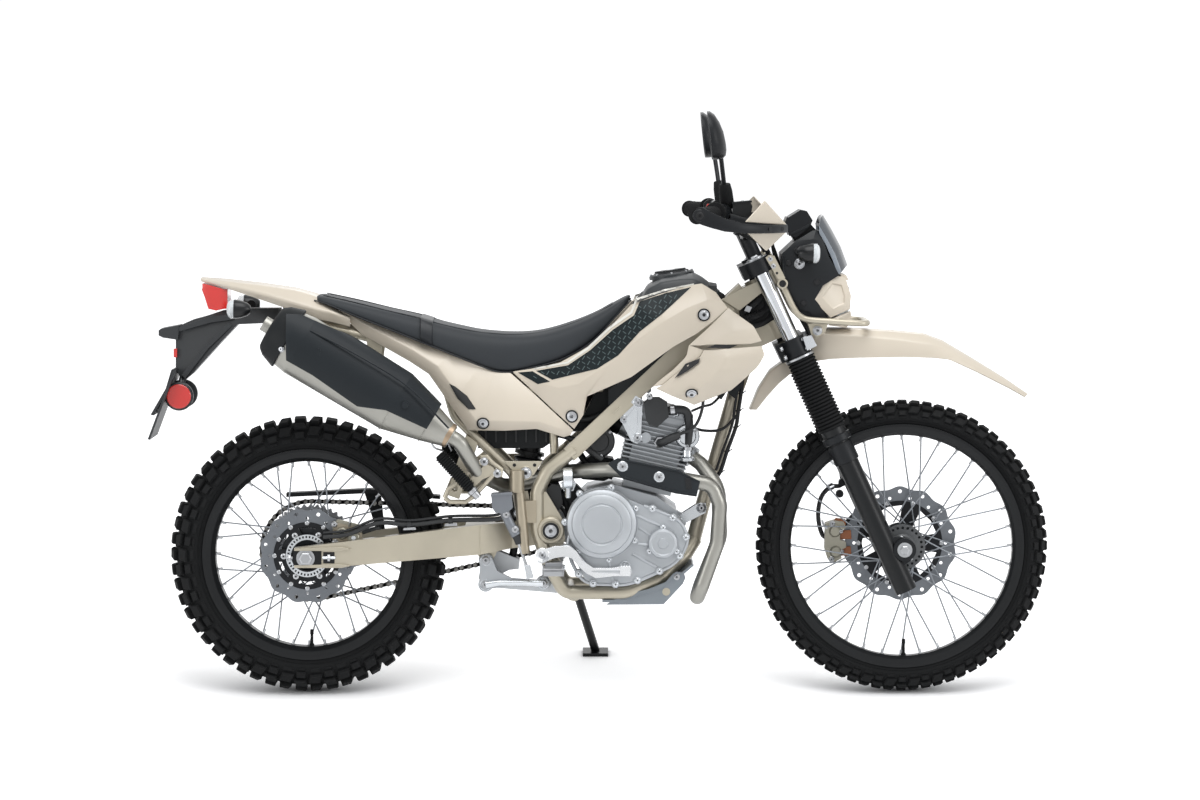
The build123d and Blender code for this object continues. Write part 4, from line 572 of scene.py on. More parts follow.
def boss(x, y, z, radius, depth, height, bolt_r, bolt_h):
    """A boss on the case's right face, with its bolt."""
    return [lathe([(0, -depth), (radius + 0.5, -depth), (radius, height), (0, height)], (x, y, z), RIGHT, cast_alloy,
        20), *bolt((x, y - height, z), RIGHT, bright_alloy, bolt_r, bolt_h)]


parts = [
    lathe([(81, -2), (81, 3), (79, 6), (79, 20), (77.5, 24), (72, 27), (68.5, 28), (67, 31), (63, 33.5), (48, 35),
        (46, 33.2), (44, 33.2), (42, 35.2), (0, 36)], CLUTCH, RIGHT, cast_alloy, 96),
]
for n in range(7):
    turn = radians(24 + n * 51.4)
    parts += boss(CLUTCH[0] + 84 * cos(turn), -135, CLUTCH[2] + 84 * sin(turn), 8, 6, 7, 5, 4)
parts.append(lathe([(34.5, -2), (34.5, 14), (32, 18), (27, 20), (25, 18.5), (12, 18.5), (11, 20.5), (0, 20.5)],
    STARTER, RIGHT, cast_alloy, 64))
for n in range(3):
    turn = radians(90 + n * 120)
    parts += boss(STARTER[0] + 36 * cos(turn), -136, STARTER[2] + 36 * sin(turn), 7, 4, 12, 4.6, 4)
RIM = [(606, 392), (598, 345), (614, 296), (642, 265), (700, 260), (738, 262), (790, 282), (842, 310), (868, 352),
    (864, 384), (846, 408), (812, 424), (770, 440)]
parts.append(tube([(x, -133, z) for x, z in RIM], 5, 4.2, cast_alloy, 10))
RIM_BOLTS = ((622, 285), (655, 263), (706, 261), (756, 270), (806, 291), (852, 326), (866, 368), (836, 412),
    (790, 433))
for x, z in RIM_BOLTS:
    parts += boss(x, -136, z, 9, 14, 4, 5.2, 4.5)
# ribs between the covers, the oil window, a filler cap and the vertical boss above the clutch cover
for x0, z0, x1, z1 in ((748, 420, 812, 392), (756, 352, 782, 350), (744, 330, 800, 300), (690, 318, 700, 268),
        (760, 390, 786, 372)):
    parts.append(sweep([(x0, -134, z0), (x1, -134, z1)], 4.0, cast_alloy, 8))
parts += [
    lathe([(13, 0), (13, 5), (11, 6), (9.5, 4.5)], (728, -135, 301), RIGHT, cast_alloy),
    rod(9.6, 0, 3.4, (728, -135, 301), RIGHT, black_parts_and_hole_shade),
    slab([(726.6, 293), (729.4, 293), (729.4, 309), (726.6, 309)], -139.6, -138, bright_alloy),
    sweep([(694, -132, 430), (692, -130, 476)], 9, cast_alloy, 20),
    lathe([(0, 0), (12, 0), (12, 6), (9, 8), (0, 8)], (692, -130, 474), (0, 0, 1), cast_alloy, 24),
    slab([(616, 330), (606, 398), (640, 450), (668, 466), (664, 452), (634, 426), (622, 396), (628, 336)], -138, -134,
        cast_alloy),
]
piece("case_covers", parts, "chassis", bevel=0.8)

UP, FORE = Vector((0.2250, 0, 0.9744)), Vector((0.9744, 0, -0.2250))


def head_at(up, fore, y):
    """A point of the cylinder's own frame: up its axis, ahead of it, sideways."""
    return Vector((776, 0, 462)) + UP * up + FORE * fore + Vector((0, y, 0))


parts = []
for n in range(5):
    parts += bolt(head_at(176 + (n % 2) * 16, -52 + n * 26, -68), RIGHT, bright_alloy, 5.5, 5)
# the rocker cover's stepped rim and the cam end plate
cover = [(168, -64), (168, 66), (176, 68), (182, 64), (182, -62), (176, -66)]
parts += [
    slab([(head_at(u, f, 0).x, head_at(u, f, 0).z) for u, f in cover], -70, 70, cast_alloy),
    lathe([(0, 0), (28, 0), (28, 6), (25, 9), (20, 9), (18, 7), (0, 7)], head_at(150, 62, -78), RIGHT, bright_alloy,
        48),
]
for n in range(3):
    turn = radians(30 + n * 120)
    parts += bolt(head_at(150, 62, -86) + Vector((22 * cos(turn), 0, 22 * sin(turn))), RIGHT, steel, 3.6, 3)
for n in range(10):
    parts.append(sweep([head_at(36 + n * 9.6, -72, -60), head_at(36 + n * 9.6, -72, 60)], 1.9, cast_alloy, 6))
# spark plug boss with its cap and lead
parts += [
    lathe([(0, 0), (15, 0), (15, 5), (11, 8), (11, 16), (0, 16)], head_at(122, 4, -74), (0, -1, 0.2), steel, 6),
    tube([head_at(122, 4, -86), head_at(124, 8, -104), head_at(136, 22, -110), head_at(150, 42, -104)], 6, 9.5,
        engine_rubber, 16),
    tube([head_at(150, 40, -104), (884, -104, 616), (902, -102, 652), (908, -96, 700)], 7, 3.6, engine_rubber, 10),
    # air injection canister, its hoses and clips
    slab([(771, 671), (782, 684), (806, 684), (824, 673), (827, 640), (801, 617), (782, 622), (775, 636)], -112, -72,
        engine_rubber),
    tube([(822, -92, 652), (846, -92, 656), (868, -88, 650), (874, -84, 622), (873, -80, 590), (871, -78, 560)], 7,
        10.0, engine_rubber, 16),
]
for z in (566, 640):
    parts.append(collar([(10.4, -4), (12, -4), (12, 4), (10.4, 4)], (872, -80, z), (0.02, 0, 1), steel, 24))
parts += [
    lathe([(0, 0), (17, 0), (17, 6), (12, 10), (11, 26), (0, 26)], (870, -78, 538), (0, 0, 1), bright_alloy),
    collar([(10.4, -5), (12.5, -5), (12.5, 5), (10.4, 5)], (836, -92, 655), (1, 0, 0.12), steel, 24),
]
piece("head_fittings", parts, "chassis", bevel=0.8)

parts = []
for side, away in SIDES:
    for x, z, size in ((758, 672, 7), (726, 634, 5.5), (756, 592, 7)):
        parts += bolt((x, side * 94.5, z), away, steel, size, 5, (size + 4, bright_alloy))
    parts.append(slab([(749, 660), (757, 656), (756, 606), (748, 604), (728, 634)], side * 94, side * 97.5,
        bright_alloy))
    for x, z in ((904, 425), (848, 396)):
        parts += bolt((x, side * 22.5, z), away, steel, 8, 6, (12, bright_alloy))
piece("hanger_bolts", parts, "chassis", bevel=0.8)

# The intake behind the barrel: a throttle body with a black sensor cover and clamps, and the ribbed air box.
parts = [lathe([(0, -8), (37, -8), (37, 2), (33, 6), (24, 7), (22, 4), (0, 4)], (668, -74, 582), RIGHT, engine_rubber,
    48)]
for turn_deg in (40, 160, 280):
    turn = radians(turn_deg)
    parts += bolt((668 + 33 * cos(turn), -77, 582 + 33 * sin(turn)), RIGHT, steel, 3.4, 4)
for x, z in ((642, 597), (600, 612)):
    parts.append(collar([(26, -5), (28.5, -5), (28.5, 5), (26, 5)], (x, 0, z), (0.94, 0, -0.34), steel, 40))
for n in range(7):
    x = 408 + n * 23
    parts.append(slab([(x, 580), (x + 4, 580), (x + 4, 646), (x, 640)], -75, -72, engine_rubber))
parts += [
    tube([(556, -62, 600), (600, -70, 590), (640, -78, 566), (676, -80, 540)], 6, 6.5, engine_rubber),
    tube([(610, -60, 640), (640, -70, 632), (668, -66, 640), (700, -60, 652)], 6, 7.5, engine_rubber),
    slab([(588, 470), (582, 488), (604, 500), (616, 486), (610, 470)], -96, -74, bright_alloy),
    slab([(556, 424), (548, 470), (560, 486), (580, 482), (586, 440), (576, 424)], -92, -60, engine_rubber),
]
piece("intake_fittings", parts, "chassis", bevel=1.0)


# The exhaust: a header of heat-tinted stainless tube with a dark guard beside the barrel, and a satin steel muffler
# under a dark moulded shield, closed by a black cap. Weld beads and clamps are bright.
hot_steel = finish("heat tinted steel", (150, 132, 112), 0.3, metal=0.9, grain=0.05, tone=0.12)
MUFFLER_FROM = Vector((335, -166, 598))
MUFFLER_ALONG, MUFFLER_UP = Vector((-0.8536, 0, 0.5210)), Vector((0.5210, 0, 0.8536))


def muffler_ring(along, half_height, half_width, sides=40):
    """An oval ring round the muffler's axis."""
    centre = MUFFLER_FROM + MUFFLER_ALONG * along
    return [centre + MUFFLER_UP * (half_height * sin(2 * pi * n / sides))
        + Vector((0, half_width * cos(2 * pi * n / sides), 0)) for n in range(sides)]


CAP = ((428, 73.4, 55.4), (431, 74.6, 56.6), (462, 63.6, 49.6), (474, 54, 41.5), (478, 48, 36), (480, 30, 24))
parts = [
    loft([muffler_ring(*row) for row in CAP], black_plastic),
    *bolt(MUFFLER_FROM + MUFFLER_ALONG * 446 + Vector((0, -50, -30)), (-0.3, -0.9, 0), steel),
]
tip = MUFFLER_FROM + MUFFLER_ALONG * 478
parts.append(collar([(14.5, 0), (14.5, 19), (17.4, 19), (17.8, 16), (17.8, 0)], tip, MUFFLER_ALONG, muffler_steel,
    40))
for along, half_height, half_width in ((60, 45.2, 41), (150, 69, 53)):
    ring = muffler_ring(along, half_height, half_width, 48)
    parts.append(sweep(ring + ring[:1], 1.5, muffler_steel, 6))
parts.append(collar([(27.2, 0), (29.5, 1), (29.5, 16), (27.2, 17)], (333, -166, 599.5), MUFFLER_ALONG, hot_steel, 40))
piece("muffler_cap", parts, "chassis", bevel=1.0)

parts = []
RIDGES = (((20, 842), (120, 790), (236, 718), (330, 622)), ((-24, 800), (60, 744), (150, 700), (250, 640)))
for ridge in RIDGES:
    line = smooth_line([(x, -222.5 if n in (1, 2) else -219, z) for n, (x, z) in enumerate(ridge)], 6)
    parts.append(sweep(line, 2.2, shield_paint, 8))
for x, z in ((722, 530), (805, 506)):
    parts += [
        lathe([(0, 0), (12.5, 0), (12.5, 2.2), (10.5, 4), (0, 4)], (x, -143, z), RIGHT, bright_alloy),
        *bolt((x, -147, z), RIGHT, steel, 6.5, 3.5),
    ]
parts += [
    sweep([(716, -143.5, 546), (800, -144, 529), (850, -144, 518), (894, -143.5, 496)], 2.0, shield_paint, 8),
    sweep([(726, -143.5, 505), (776, -144, 491), (842, -144, 472), (888, -143.5, 466)], 2.0, shield_paint, 8),
    slab([(866, 478), (880, 478), (876, 504), (864, 504)], -144.4, -142, black_parts_and_hole_shade),
]
piece("shield_details", parts, "chassis", bevel=0.6)
parts = [
    collar([(22.5, -11), (25.5, -10), (25.5, 10), (22.5, 11)], (598, -122, 500), (1, 0, 0.02), bright_alloy, 36),
    lathe([(0, -4), (7, -4), (7, 16), (5, 19), (0, 19)], (598, -134, 476), (0, 0, -1), bright_alloy, 6),
    tube([(316, -150, 566), (296, -158, 574), (290, -166, 590), (304, -168, 600), (322, -160, 590), (334, -148, 566)],
        8, 2.2, steel, 8),
]
piece("exhaust_clamp", parts, "chassis", bevel=0.5)


# Moulded side panels, tank covers and radiator-style shrouds in tan plastic. Each is a thin skin drawn as strips of
# (x, height, half width) from its upper to its lower edge, with soft creases, held by flange bolts.
def strip(rows, material, side):
    """A skin through rows of equally many (x, z, half width) points."""
    count = len(rows[0])
    points = [Vector((x, side * y, z)) for row in rows for x, z, y in row]
    faces = []
    for row in range(len(rows) - 1):
        for n in range(count - 1):
            a = row * count + n
            faces.append((a, a + 1, a + count + 1, a + count))
    return points, faces, material


def panel(name, skins, body, hides, crease=5.0, wall=3.2):
    """A moulded panel on both sides: skins with rounded creases and a real wall."""
    parts = [strip(rows, material, side) for rows, material in skins for side in (-1, 1)]
    made = piece(name, parts, body, hides, angle=60)
    solid = bmesh.new()
    solid.from_mesh(made.data)
    for face in solid.faces:
        side = 1 if (PARKED.inverted() @ face.calc_center_median()).y > 0 else -1
        if face.normal.dot(PARKED.to_3x3() @ Vector((0.0, side, 0.25))) < 0:
            face.normal_flip()
    solid.to_mesh(made.data)
    solid.free()
    soften(made, crease, 3, 7)
    thicken(made, wall)
    soften(made, 0.9, 2, 50)
    return made


clamp_black = finish("black clamp paint", (22, 24, 27), 0.42, grain=0.04, level=0.22)
SIDE_PANEL = (
    # upper edge, crease, lower edge: (x, height, half width)
    ((56, 896, 72), (72, 886, 78), (92, 862, 80)),
    ((150, 858, 82), (152, 842, 96), (127, 828, 90)),
    ((250, 818, 88), (246, 793, 110), (236, 767, 102)),
    ((330, 785, 92), (302, 757, 118), (281, 738, 109)),
    ((398, 758, 95), (350, 690, 124), (325, 675, 113)),
    ((434, 743, 97), (390, 633, 127), (371, 610, 117)),
    ((467, 740, 98), (470, 632, 126), (452, 609, 117)),
    ((524, 690, 104), (534, 630, 122), (527, 613, 116)),
    ((578, 640, 110), (580, 614, 115), (588, 594, 112)),
    ((610, 610, 112), (607, 605, 112), (604, 599, 111)),
)
TANK_COVER = (
    ((473, 743, 98), (474, 741, 99), (475, 739, 99)),
    ((530, 752, 100), (530, 722, 107), (524, 694, 105)),
    ((580, 764, 102), (576, 706, 114), (566, 655, 110)),
    ((620, 786, 103), (622, 716, 122), (612, 613, 113)),
    ((665, 813, 104), (662, 744, 131), (633, 646, 121)),
    ((702, 853, 104), (700, 770, 137), (641, 688, 128)),
    ((742, 896, 103), (756, 818, 144), (742, 733, 138)),
    ((800, 918, 103), (816, 860, 148), (838, 803, 147)),
    ((863, 938, 103), (868, 890, 146), (890, 832, 146)),
    ((902, 944, 106), (914, 908, 140), (930, 862, 143)),
    ((934, 924, 118), (946, 908, 128), (960, 889, 137)),
)
SHROUD_TOP = (
    ((961, 890, 140), (1018, 850, 160), (1036, 816, 170)),
    ((945, 873, 145), (975, 838, 164), (1010, 810, 172)),
    ((908, 838, 150), (935, 822, 162), (975, 809, 171)),
    ((872, 806, 150), (896, 806, 158), (918, 808, 164)),
)
SHROUD_LOW = (
    ((905, 795, 158), (960, 799, 168), (1036, 805, 171)),
    ((897, 780, 160), (958, 780, 178), (1043, 785, 172)),
    ((870, 762, 161), (940, 750, 180), (1028, 759, 174)),
    ((838, 738, 160), (912, 722, 178), (998, 731, 174)),
    ((812, 716, 158), (884, 700, 172), (968, 705, 170)),
    ((797, 708, 156), (836, 690, 164), (884, 671, 166)),
)
SHROUD_FILL = (
    ((872, 806, 150), (905, 795, 155)),
    ((866, 780, 151), (897, 780, 156)),
    ((838, 752, 152), (870, 762, 156)),
    ((800, 722, 152), (838, 738, 156)),
    ((790, 712, 151), (812, 716, 155)),
)
side_panels = panel("side_panel_skins", [(SIDE_PANEL, tan)], "chassis", ("side_panels",))
tank_covers = panel("tank_cover_skins", [(TANK_COVER, tan)], "chassis", ("tank_covers",))
shrouds = panel("shroud_skins", [(SHROUD_TOP, tan), (SHROUD_LOW, tan), (SHROUD_FILL, tan)], "chassis",
    ("shrouds",))


# What lies on the panels: vents whose openings are dark sheets of painted shade, flange bolts in dark cups, and on
# the tank covers a dark printed strip with a tread-plate pattern and a pale line along its upper edge.
painted_vent_shade = finish("painted shade in vent openings", (14, 15, 17), 0.7)
print_dark = finish("dark printed teal", (15, 25, 28), 0.42, coat=0.04, level=0.2)
print_light = finish("pale lozenge print", (82, 96, 97), 0.42, coat=0.04, level=0.2)
print_white = finish("pale pinstripe", (226, 224, 216), 0.35, coat=0.3)


def skin_of(made):
    """A search tree over a panel's skin, in upright millimetres."""
    upright = PARKED.inverted()
    finished = made.evaluated_get(bpy.context.evaluated_depsgraph_get())
    mesh = finished.to_mesh()
    points = [(upright @ v.co) * 1000 for v in mesh.vertices]
    mesh.calc_loop_triangles()
    tree = BVHTree.FromPolygons(points, [tuple(t.vertices) for t in mesh.loop_triangles])
    finished.to_mesh_clear()
    return tree


def drape(skin, outline, side, material, lift=0.5, cell=9.0):
    """A flat (x, z) outline laid on a skin, cut into cells so that it follows the curve."""
    flat = bmesh.new()
    face = flat.faces.new([flat.verts.new((x, 0, z)) for x, z in outline])
    bmesh.ops.triangulate(flat, faces=[face])
    for axis, low, high in ((0, min(p[0] for p in outline), max(p[0] for p in outline)),
            (2, min(p[1] for p in outline), max(p[1] for p in outline))):
        cut = low + cell
        while cut < high - 0.5:
            at, normal = [0, 0, 0], [0, 0, 0]
            at[axis], normal[axis] = cut, 1
            bmesh.ops.bisect_plane(flat, geom=flat.verts[:] + flat.edges[:] + flat.faces[:], plane_co=at,
                plane_no=normal)
            cut += cell
    points = []
    flat.verts.index_update()
    last = None
    for vert in flat.verts:
        hit = skin.ray_cast(Vector((vert.co.x, side * 400, vert.co.z)), Vector((0, -side, 0)))
        y = hit[0].y if hit[0] else (last if last is not None else side * 120)
        last = y
        points.append(Vector((vert.co.x, y + side * lift, vert.co.z)))
    faces = [tuple(v.index for v in f.verts) for f in flat.faces]
    flat.free()
    return points, faces, material


def inside(outline, x, z):
    """Whether a point lies in an (x, z) outline."""
    within = False
    for (x0, z0), (x1, z1) in zip(outline, outline[1:] + outline[:1]):
        if (z0 > z) != (z1 > z) and x < x0 + (z - z0) / (z1 - z0) * (x1 - x0):
            within = not within
    return within


def cup_bolt(skin, x, z, side, size=7.5):
    """A flange bolt in a dark cup, standing on a skin."""
    hit = skin.ray_cast(Vector((x, side * 400, z)), Vector((0, -side, 0)))
    normal = hit[1] if hit[1].y * side > 0 else -hit[1]
    return bolt(hit[0] + normal * 0.5, normal, steel, size * 1.2, 4.5, (size * 1.95, black_parts_and_hole_shade))


PRINT_SMALL = [(484, 741), (517, 744), (557, 721), (529, 715)]
PRINT_MAIN = [(525, 745), (562, 725), (664, 751), (712, 782), (761, 836), (812, 876), (878, 936), (820, 922),
    (761, 903), (748, 872), (700, 839), (648, 792), (598, 758)]
PINSTRIPE = [(521, 748), (598, 762), (645, 794), (697, 843), (744, 876), (756, 906), (820, 927), (884, 941),
    (884, 944), (818, 931), (752, 910), (740, 880), (694, 848), (642, 799), (596, 766), (519, 751)]
tank_skin, side_skin, shroud_skin = skin_of(tank_covers), skin_of(side_panels), skin_of(shrouds)
parts = []
for side in (-1, 1):
    for outline in (PRINT_SMALL, PRINT_MAIN):
        parts.append(drape(tank_skin, outline, side, print_dark, 0.7))
        low_x, low_z = min(p[0] for p in outline), min(p[1] for p in outline)
        for column in range(36):
            for row in range(24):
                x, z = low_x + column * 11.6 + 4, low_z + row * 11.6 + 4
                run, rise = (2.9, 4.8) if (column + row) % 2 else (3.9, -2.5)
                bar = [(x + along * run + across * rise * 0.17, z + along * rise - across * run * 0.17)
                    for along, across in ((-1, -1), (-0.86, 1), (1, 1), (0.86, -1))]
                if all(inside(outline, px, pz) for px, pz in bar):
                    parts.append(drape(tank_skin, bar, side, print_light, 1.0, 20))
    parts.append(drape(tank_skin, PINSTRIPE, side, print_white, 0.8))
piece("tank_print", parts, "chassis")

SIDE_VENT = [(328, 717), (341, 711), (369, 689), (389, 659), (372, 659), (347, 683)]
SHROUD_VENT = [(911, 801), (931, 808), (982, 807), (964, 799)]
LOW_VENT = [(839, 731), (864, 764), (897, 777), (894, 767), (868, 748)]
# Each vent's opening is a near-black sheet laid on the skin: painted shade for the inside of the opening.
parts = []
for side in (-1, 1):
    parts += [
        drape(side_skin, SIDE_VENT, side, painted_vent_shade, 1.8, 4),
        drape(shroud_skin, SHROUD_VENT, side, painted_vent_shade, 1.8, 4),
        drape(shroud_skin, LOW_VENT, side, painted_vent_shade, 4.5, 30),
    ]
piece("panel_vent_shade", parts, "chassis")
parts = []
for side in (-1, 1):
    parts += [
        *cup_bolt(side_skin, 405, 627, side),
        *cup_bolt(tank_skin, 607, 642, side),
        *cup_bolt(shroud_skin, 878, 697, side),
        *cup_bolt(tank_skin, 906, 874, side),
    ]
piece("panel_bolts", parts, "chassis")

TANK_TOP = (
    # black trim over the tank's back, from the seat to the head: middle, shoulder, edge
    ((764, 912, 0), (764, 911, 40), (764, 906, 78), (770, 880, 90)),
    ((780, 938, 0), (780, 937, 44), (778, 930, 84), (784, 896, 96)),
    ((811, 956, 0), (811, 955, 46), (811, 946, 88), (814, 906, 98)),
    ((850, 963, 0), (850, 962, 46), (850, 952, 88), (850, 914, 98)),
    ((886, 966, 0), (886, 965, 44), (886, 953, 84), (884, 926, 98)),
    ((905, 956, 0), (905, 955, 42), (903, 944, 80), (900, 922, 96)),
    ((946, 924, 0), (946, 923, 34), (942, 913, 60), (938, 900, 84)),
)
tank_trim = finish("black tank trim", (38, 42, 45), 0.45, grain=0.06)
panel("tank_top_trim", [(TANK_TOP, tank_trim)], "chassis", (), crease=6)
parts = [
    collar([(52, 0), (52, 7), (49, 10), (44, 10.5), (44, 8)], (836, 0, 955), (-0.14, 0, 1), tank_trim, 48),
    lathe([(0, 0), (43, 0), (43, 9), (38, 14), (12, 15.5), (0, 15.5)], (836, 0, 955), (-0.14, 0, 1), clamp_black, 48),
    lathe([(0, 14), (9, 14), (9, 17), (7, 18), (0, 18)], (836, 0, 955), (-0.14, 0, 1), steel, 24),
]
for n in range(8):
    turn = pi / 4 * n
    parts.append(lathe([(0, 9), (3, 9), (3, 12), (2, 12.6), (0, 12.6)],
        (836 + 47 * cos(turn), 47 * sin(turn), 955 + 6.6 * cos(turn)), (-0.14, 0, 1), steel, 10))
piece("fuel_cap", parts, "chassis")


# The seat: a one-piece foam pad under black grained vinyl, crowned across, with a passenger strap, a welt along each
# lower edge and a piped seam round its crown. It is modelled over the solid's sections.
SEAT_ROWS = (
    # x, lower edge, top, half width at the edge, half width at the crown
    (20, 903, 915, 84, 60), (40, 898, 916, 92, 66), (64, 889, 911, 98, 72), (120, 866, 899, 105, 78),
    (190, 839, 882, 110, 84), (255, 813, 868, 112, 86), (310, 791, 852, 110, 82), (366, 768, 840, 106, 76),
    (400, 754, 834, 102, 70), (434, 742, 831, 99, 66), (470, 740, 829, 97, 62), (510, 749, 830, 95, 56),
    (550, 758, 836, 92, 52), (600, 776, 851, 88, 48), (653, 809, 871, 80, 44), (700, 858, 896, 68, 40),
    (742, 903, 920, 54, 34),
)


def seat_ring(x, low, top, half, crown):
    """One closed cross-section of the pad: flat floor, pulled-in wall, rolled shoulder, crowned top."""
    tall = top - low
    right = [(half * 0.62, low - 3), (half * 0.94, low - 1), (half, low + tall * 0.12),
        (half * 0.985, low + tall * 0.4), (half * 0.95, low + tall * 0.68), (half * 0.86, low + tall * 0.87),
        (crown * 1.02, top - tall * 0.05), (crown * 0.93, top - 1.6), (crown * 0.6, top - 0.4), (crown * 0.2, top)]
    return [(x, y, z) for y, z in right] + [(x, -y, z) for y, z in reversed(right)]


vinyl = finish("grained seat vinyl", (38, 42, 46), 0.6, grain=0.22, grain_mm=2.2, tone=0.1, level=0.36)
smooth_vinyl = finish("smooth vinyl welt", (30, 33, 37), 0.45, grain=0.05, level=0.34)
parts = [loft([seat_ring(*row) for row in SEAT_ROWS], vinyl)]
pad = piece("seat_pad", parts, "chassis", ("seat",), angle=80, subdivide=2)

welts = []
for side in (-1, 1):
    lower = [(x, side * (half * 0.985 + 0.6), low + 1.5) for x, low, top, half, crown in SEAT_ROWS]
    welts.append(tube(lower, 4, 1.7, smooth_vinyl, 8))
    piped = [(x, side * crown * 0.985, top - (top - low) * 0.04 + 0.4)
        for x, low, top, half, crown in SEAT_ROWS[1:-1]]
    welts.append(tube(piped, 4, 1.15, smooth_vinyl, 6))
STRAP_AT = (262, 290)
strap_rings = []
for x in STRAP_AT:
    share = (x - SEAT_ROWS[5][0]) / (SEAT_ROWS[6][0] - SEAT_ROWS[5][0])
    low, top, half, crown = (a + (b - a) * share for a, b in zip(SEAT_ROWS[5][1:], SEAT_ROWS[6][1:]))
    strap_rings.append([(px, py * 1.012, pz + (1.9 if pz > low + 4 else 0))
        for px, py, pz in seat_ring(x, low, top, half, crown)])
inner_rings = [[(px + (1.2 if i == 0 else -1.2), py * 1.03, pz + 1.0) for px, py, pz in ring]
    for i, ring in enumerate(strap_rings)]
welts.append(loft([strap_rings[0], inner_rings[0], inner_rings[1], strap_rings[1]], smooth_vinyl, cap=False))
piece("seat_trim", welts, "chassis", angle=50)


# The tail: a tan fender skin that runs on from the side panels, over a black moulded carrier with the plate bracket.
# A red lamp stands under its tip, with black-bodied signals on rubber stalks and round red side reflectors.
TAIL_SKIN = (
    ((-242, 955, 0), (-242, 954, 34), (-243, 950, 44), (-240, 946, 41)),
    ((-181, 951, 0), (-181, 947, 50), (-181, 939, 62), (-181, 931, 58)),
    ((-100, 942, 0), (-100, 938, 60), (-100, 921, 81), (-100, 905, 77)),
    ((-24, 931, 0), (-24, 927, 66), (-24, 900, 95), (-24, 880, 90)),
    ((20, 919, 0), (20, 915, 68), (20, 888, 101), (20, 864, 95)),
    ((60, 897, 0), (60, 893, 66), (60, 880, 100), (60, 856, 94)),
    ((102, 872, 0), (102, 870, 66), (102, 866, 97), (102, 845, 92)),
)
panel("tail_fender_skin", [(TAIL_SKIN, tan)], "chassis", ("tail_fender",), crease=7)

carrier_plastic = finish("black carrier plastic", (34, 37, 40), 0.42, grain=0.05, wear=0.15)
ARM = (
    # x, low, high, half width: the arm that curves down to the plate
    (-62, 852, 884, 40), (-110, 850, 884, 40), (-158, 848, 884, 40), (-196, 808, 878, 38), (-232, 768, 866, 36),
    (-262, 735, 858, 33), (-285, 716, 848, 30), (-302, 742, 838, 28),
)
parts = [
    loft([[(x, -w, low), (x, -w * 0.7, high), (x, w * 0.7, high), (x, w, low)] for x, low, high, w in ARM],
        carrier_plastic),
    slab([(-292, 846), (-334, 838), (-340, 834), (-340, 822), (-330, 817), (-296, 812)], -34, 34, carrier_plastic),
]
for side in (-1, 1):
    rib = [(-165, 872), (-216, 868), (-292, 842), (-292, 832), (-220, 852), (-165, 860)]
    parts.append(slab(rib, side * 34, side * 41, carrier_plastic))
    web = [(-170, 846), (-226, 792), (-280, 724), (-288, 732), (-236, 796), (-180, 852)]
    parts += [
        slab(web, side * 30, side * 40, carrier_plastic),
        slab([(-62, 850), (-62, 884), (24, 870), (10, 862), (-10, 856)], side * 66, side * 72, carrier_plastic),
    ]
plate_black = finish("blank plate backing", (36, 39, 42), 0.5, grain=0.03)
parts += [
    slab([(-300, 748), (-296, 746), (-356, 586), (-361, 588)], -88, 88, plate_black),
    slab([(-309, 745), (-303, 747), (-316, 700), (-350, 640), (-357, 642), (-322, 702)], -60, 60, carrier_plastic),
]
for side, away in SIDES:
    parts += [
        sweep([(-286, side * 20, 735), (-292, side * 44, 705), (-292, side * 50, 690)], 6, carrier_plastic, 10),
        lathe([(0, 0), (31, 0), (33, 2), (33, 12), (30, 15), (0, 15)], (-292, side * 46, 684), away, carrier_plastic,
            40),
        lathe([(28, 14.6), (28, 17.4), (26.4, 18.4), (0, 18.6)], (-292, side * 46, 684), away, red_lens, 40),
        *bolt((-52, side * 73, 868), away, steel, 6, 4),
        slab([(-306, 792), (-298, 792), (-298, 772), (-306, 772)], side * 29, side * 33, red_lens),
    ]
piece("tail_carrier", parts, "chassis", ("rear_carrier",), bevel=1.6)

lamp_rings = []
for x, low, high, half in ((-188, 884, 929, 56), (-206, 880, 934, 57), (-224, 884, 939, 55), (-238, 928, 942, 50)):
    lamp_rings.append([(x, -half, low), (x, -half * 0.96, high), (x, half * 0.96, high), (x, half, low)])
parts = [loft([[(x + 8, y * 0.94, z) for x, y, z in lamp_rings[0]], *lamp_rings], red_lens)]
for n in range(6):
    y = -45 + n * 18
    parts.append(sweep([(-222, y, 890), (-233, y, 914), (-239, y, 930)], 1.6, red_lens, 6))
piece("tail_lamp_lens", parts, "chassis", ("tail_lamp",), bevel=2.5)

clear_lens = finish("clear signal lens", (222, 226, 228), 0.12, grain=0.01, coat=0.6, level=0.7)


def turn_signal(x, y, z, ahead, side):
    """A turn signal: bullet body on a rubber stalk, its ribbed clear lens facing along ahead."""
    body = [
        lathe([(0, -30), (9, -29), (15, -22), (20, -8), (22, 6), (21.5, 8)], (x, y, z), (ahead, 0, 0.02),
            signal_black),
        lathe([(20.5, 7), (20.6, 15), (18.5, 20), (13, 23.5), (0, 25)], (x, y, z), (ahead, 0, 0.02), clear_lens),
    ]
    for n in range(5):
        body.append(lathe([(20.6, 0.0), (21.4, 0.7), (20.6, 1.4)], (x + ahead * (8 + n * 1.7), y, z),
            (ahead, 0, 0.02), clear_lens))
    body.append(lathe([(10, 0), (9, 7), (10.4, 9), (8.6, 13), (9.8, 16), (8, 22), (11, 27), (11, 34), (0, 34)],
        (x - ahead * 12, y - side * 10, z), (0, -side, 0), rubber, 24))
    return body


parts = []
for side in (-1, 1):
    parts += turn_signal(-150, side * 140, 887, -1, side)
piece("rear_signal_pods", parts, "chassis", ("rear_signals",), angle=40)


# The fork: black sliders with axle lugs, rubber boots, chrome tubes and black clamps, with a tan fender on the lower
# clamp. The fender is one moulding, its tail drooping between the boots, and a brake hose loops to the caliper.
STEER_UP, STEER_AHEAD = (-0.41628, 0, 0.90924), (0.90924, 0, 0.41628)
STEER_FOOT = (1316.9, 0, 314.9)
FORK_AHEAD, FORK_Y = 18, 95
AXLE_X, AXLE_Z = 1365.1, 337


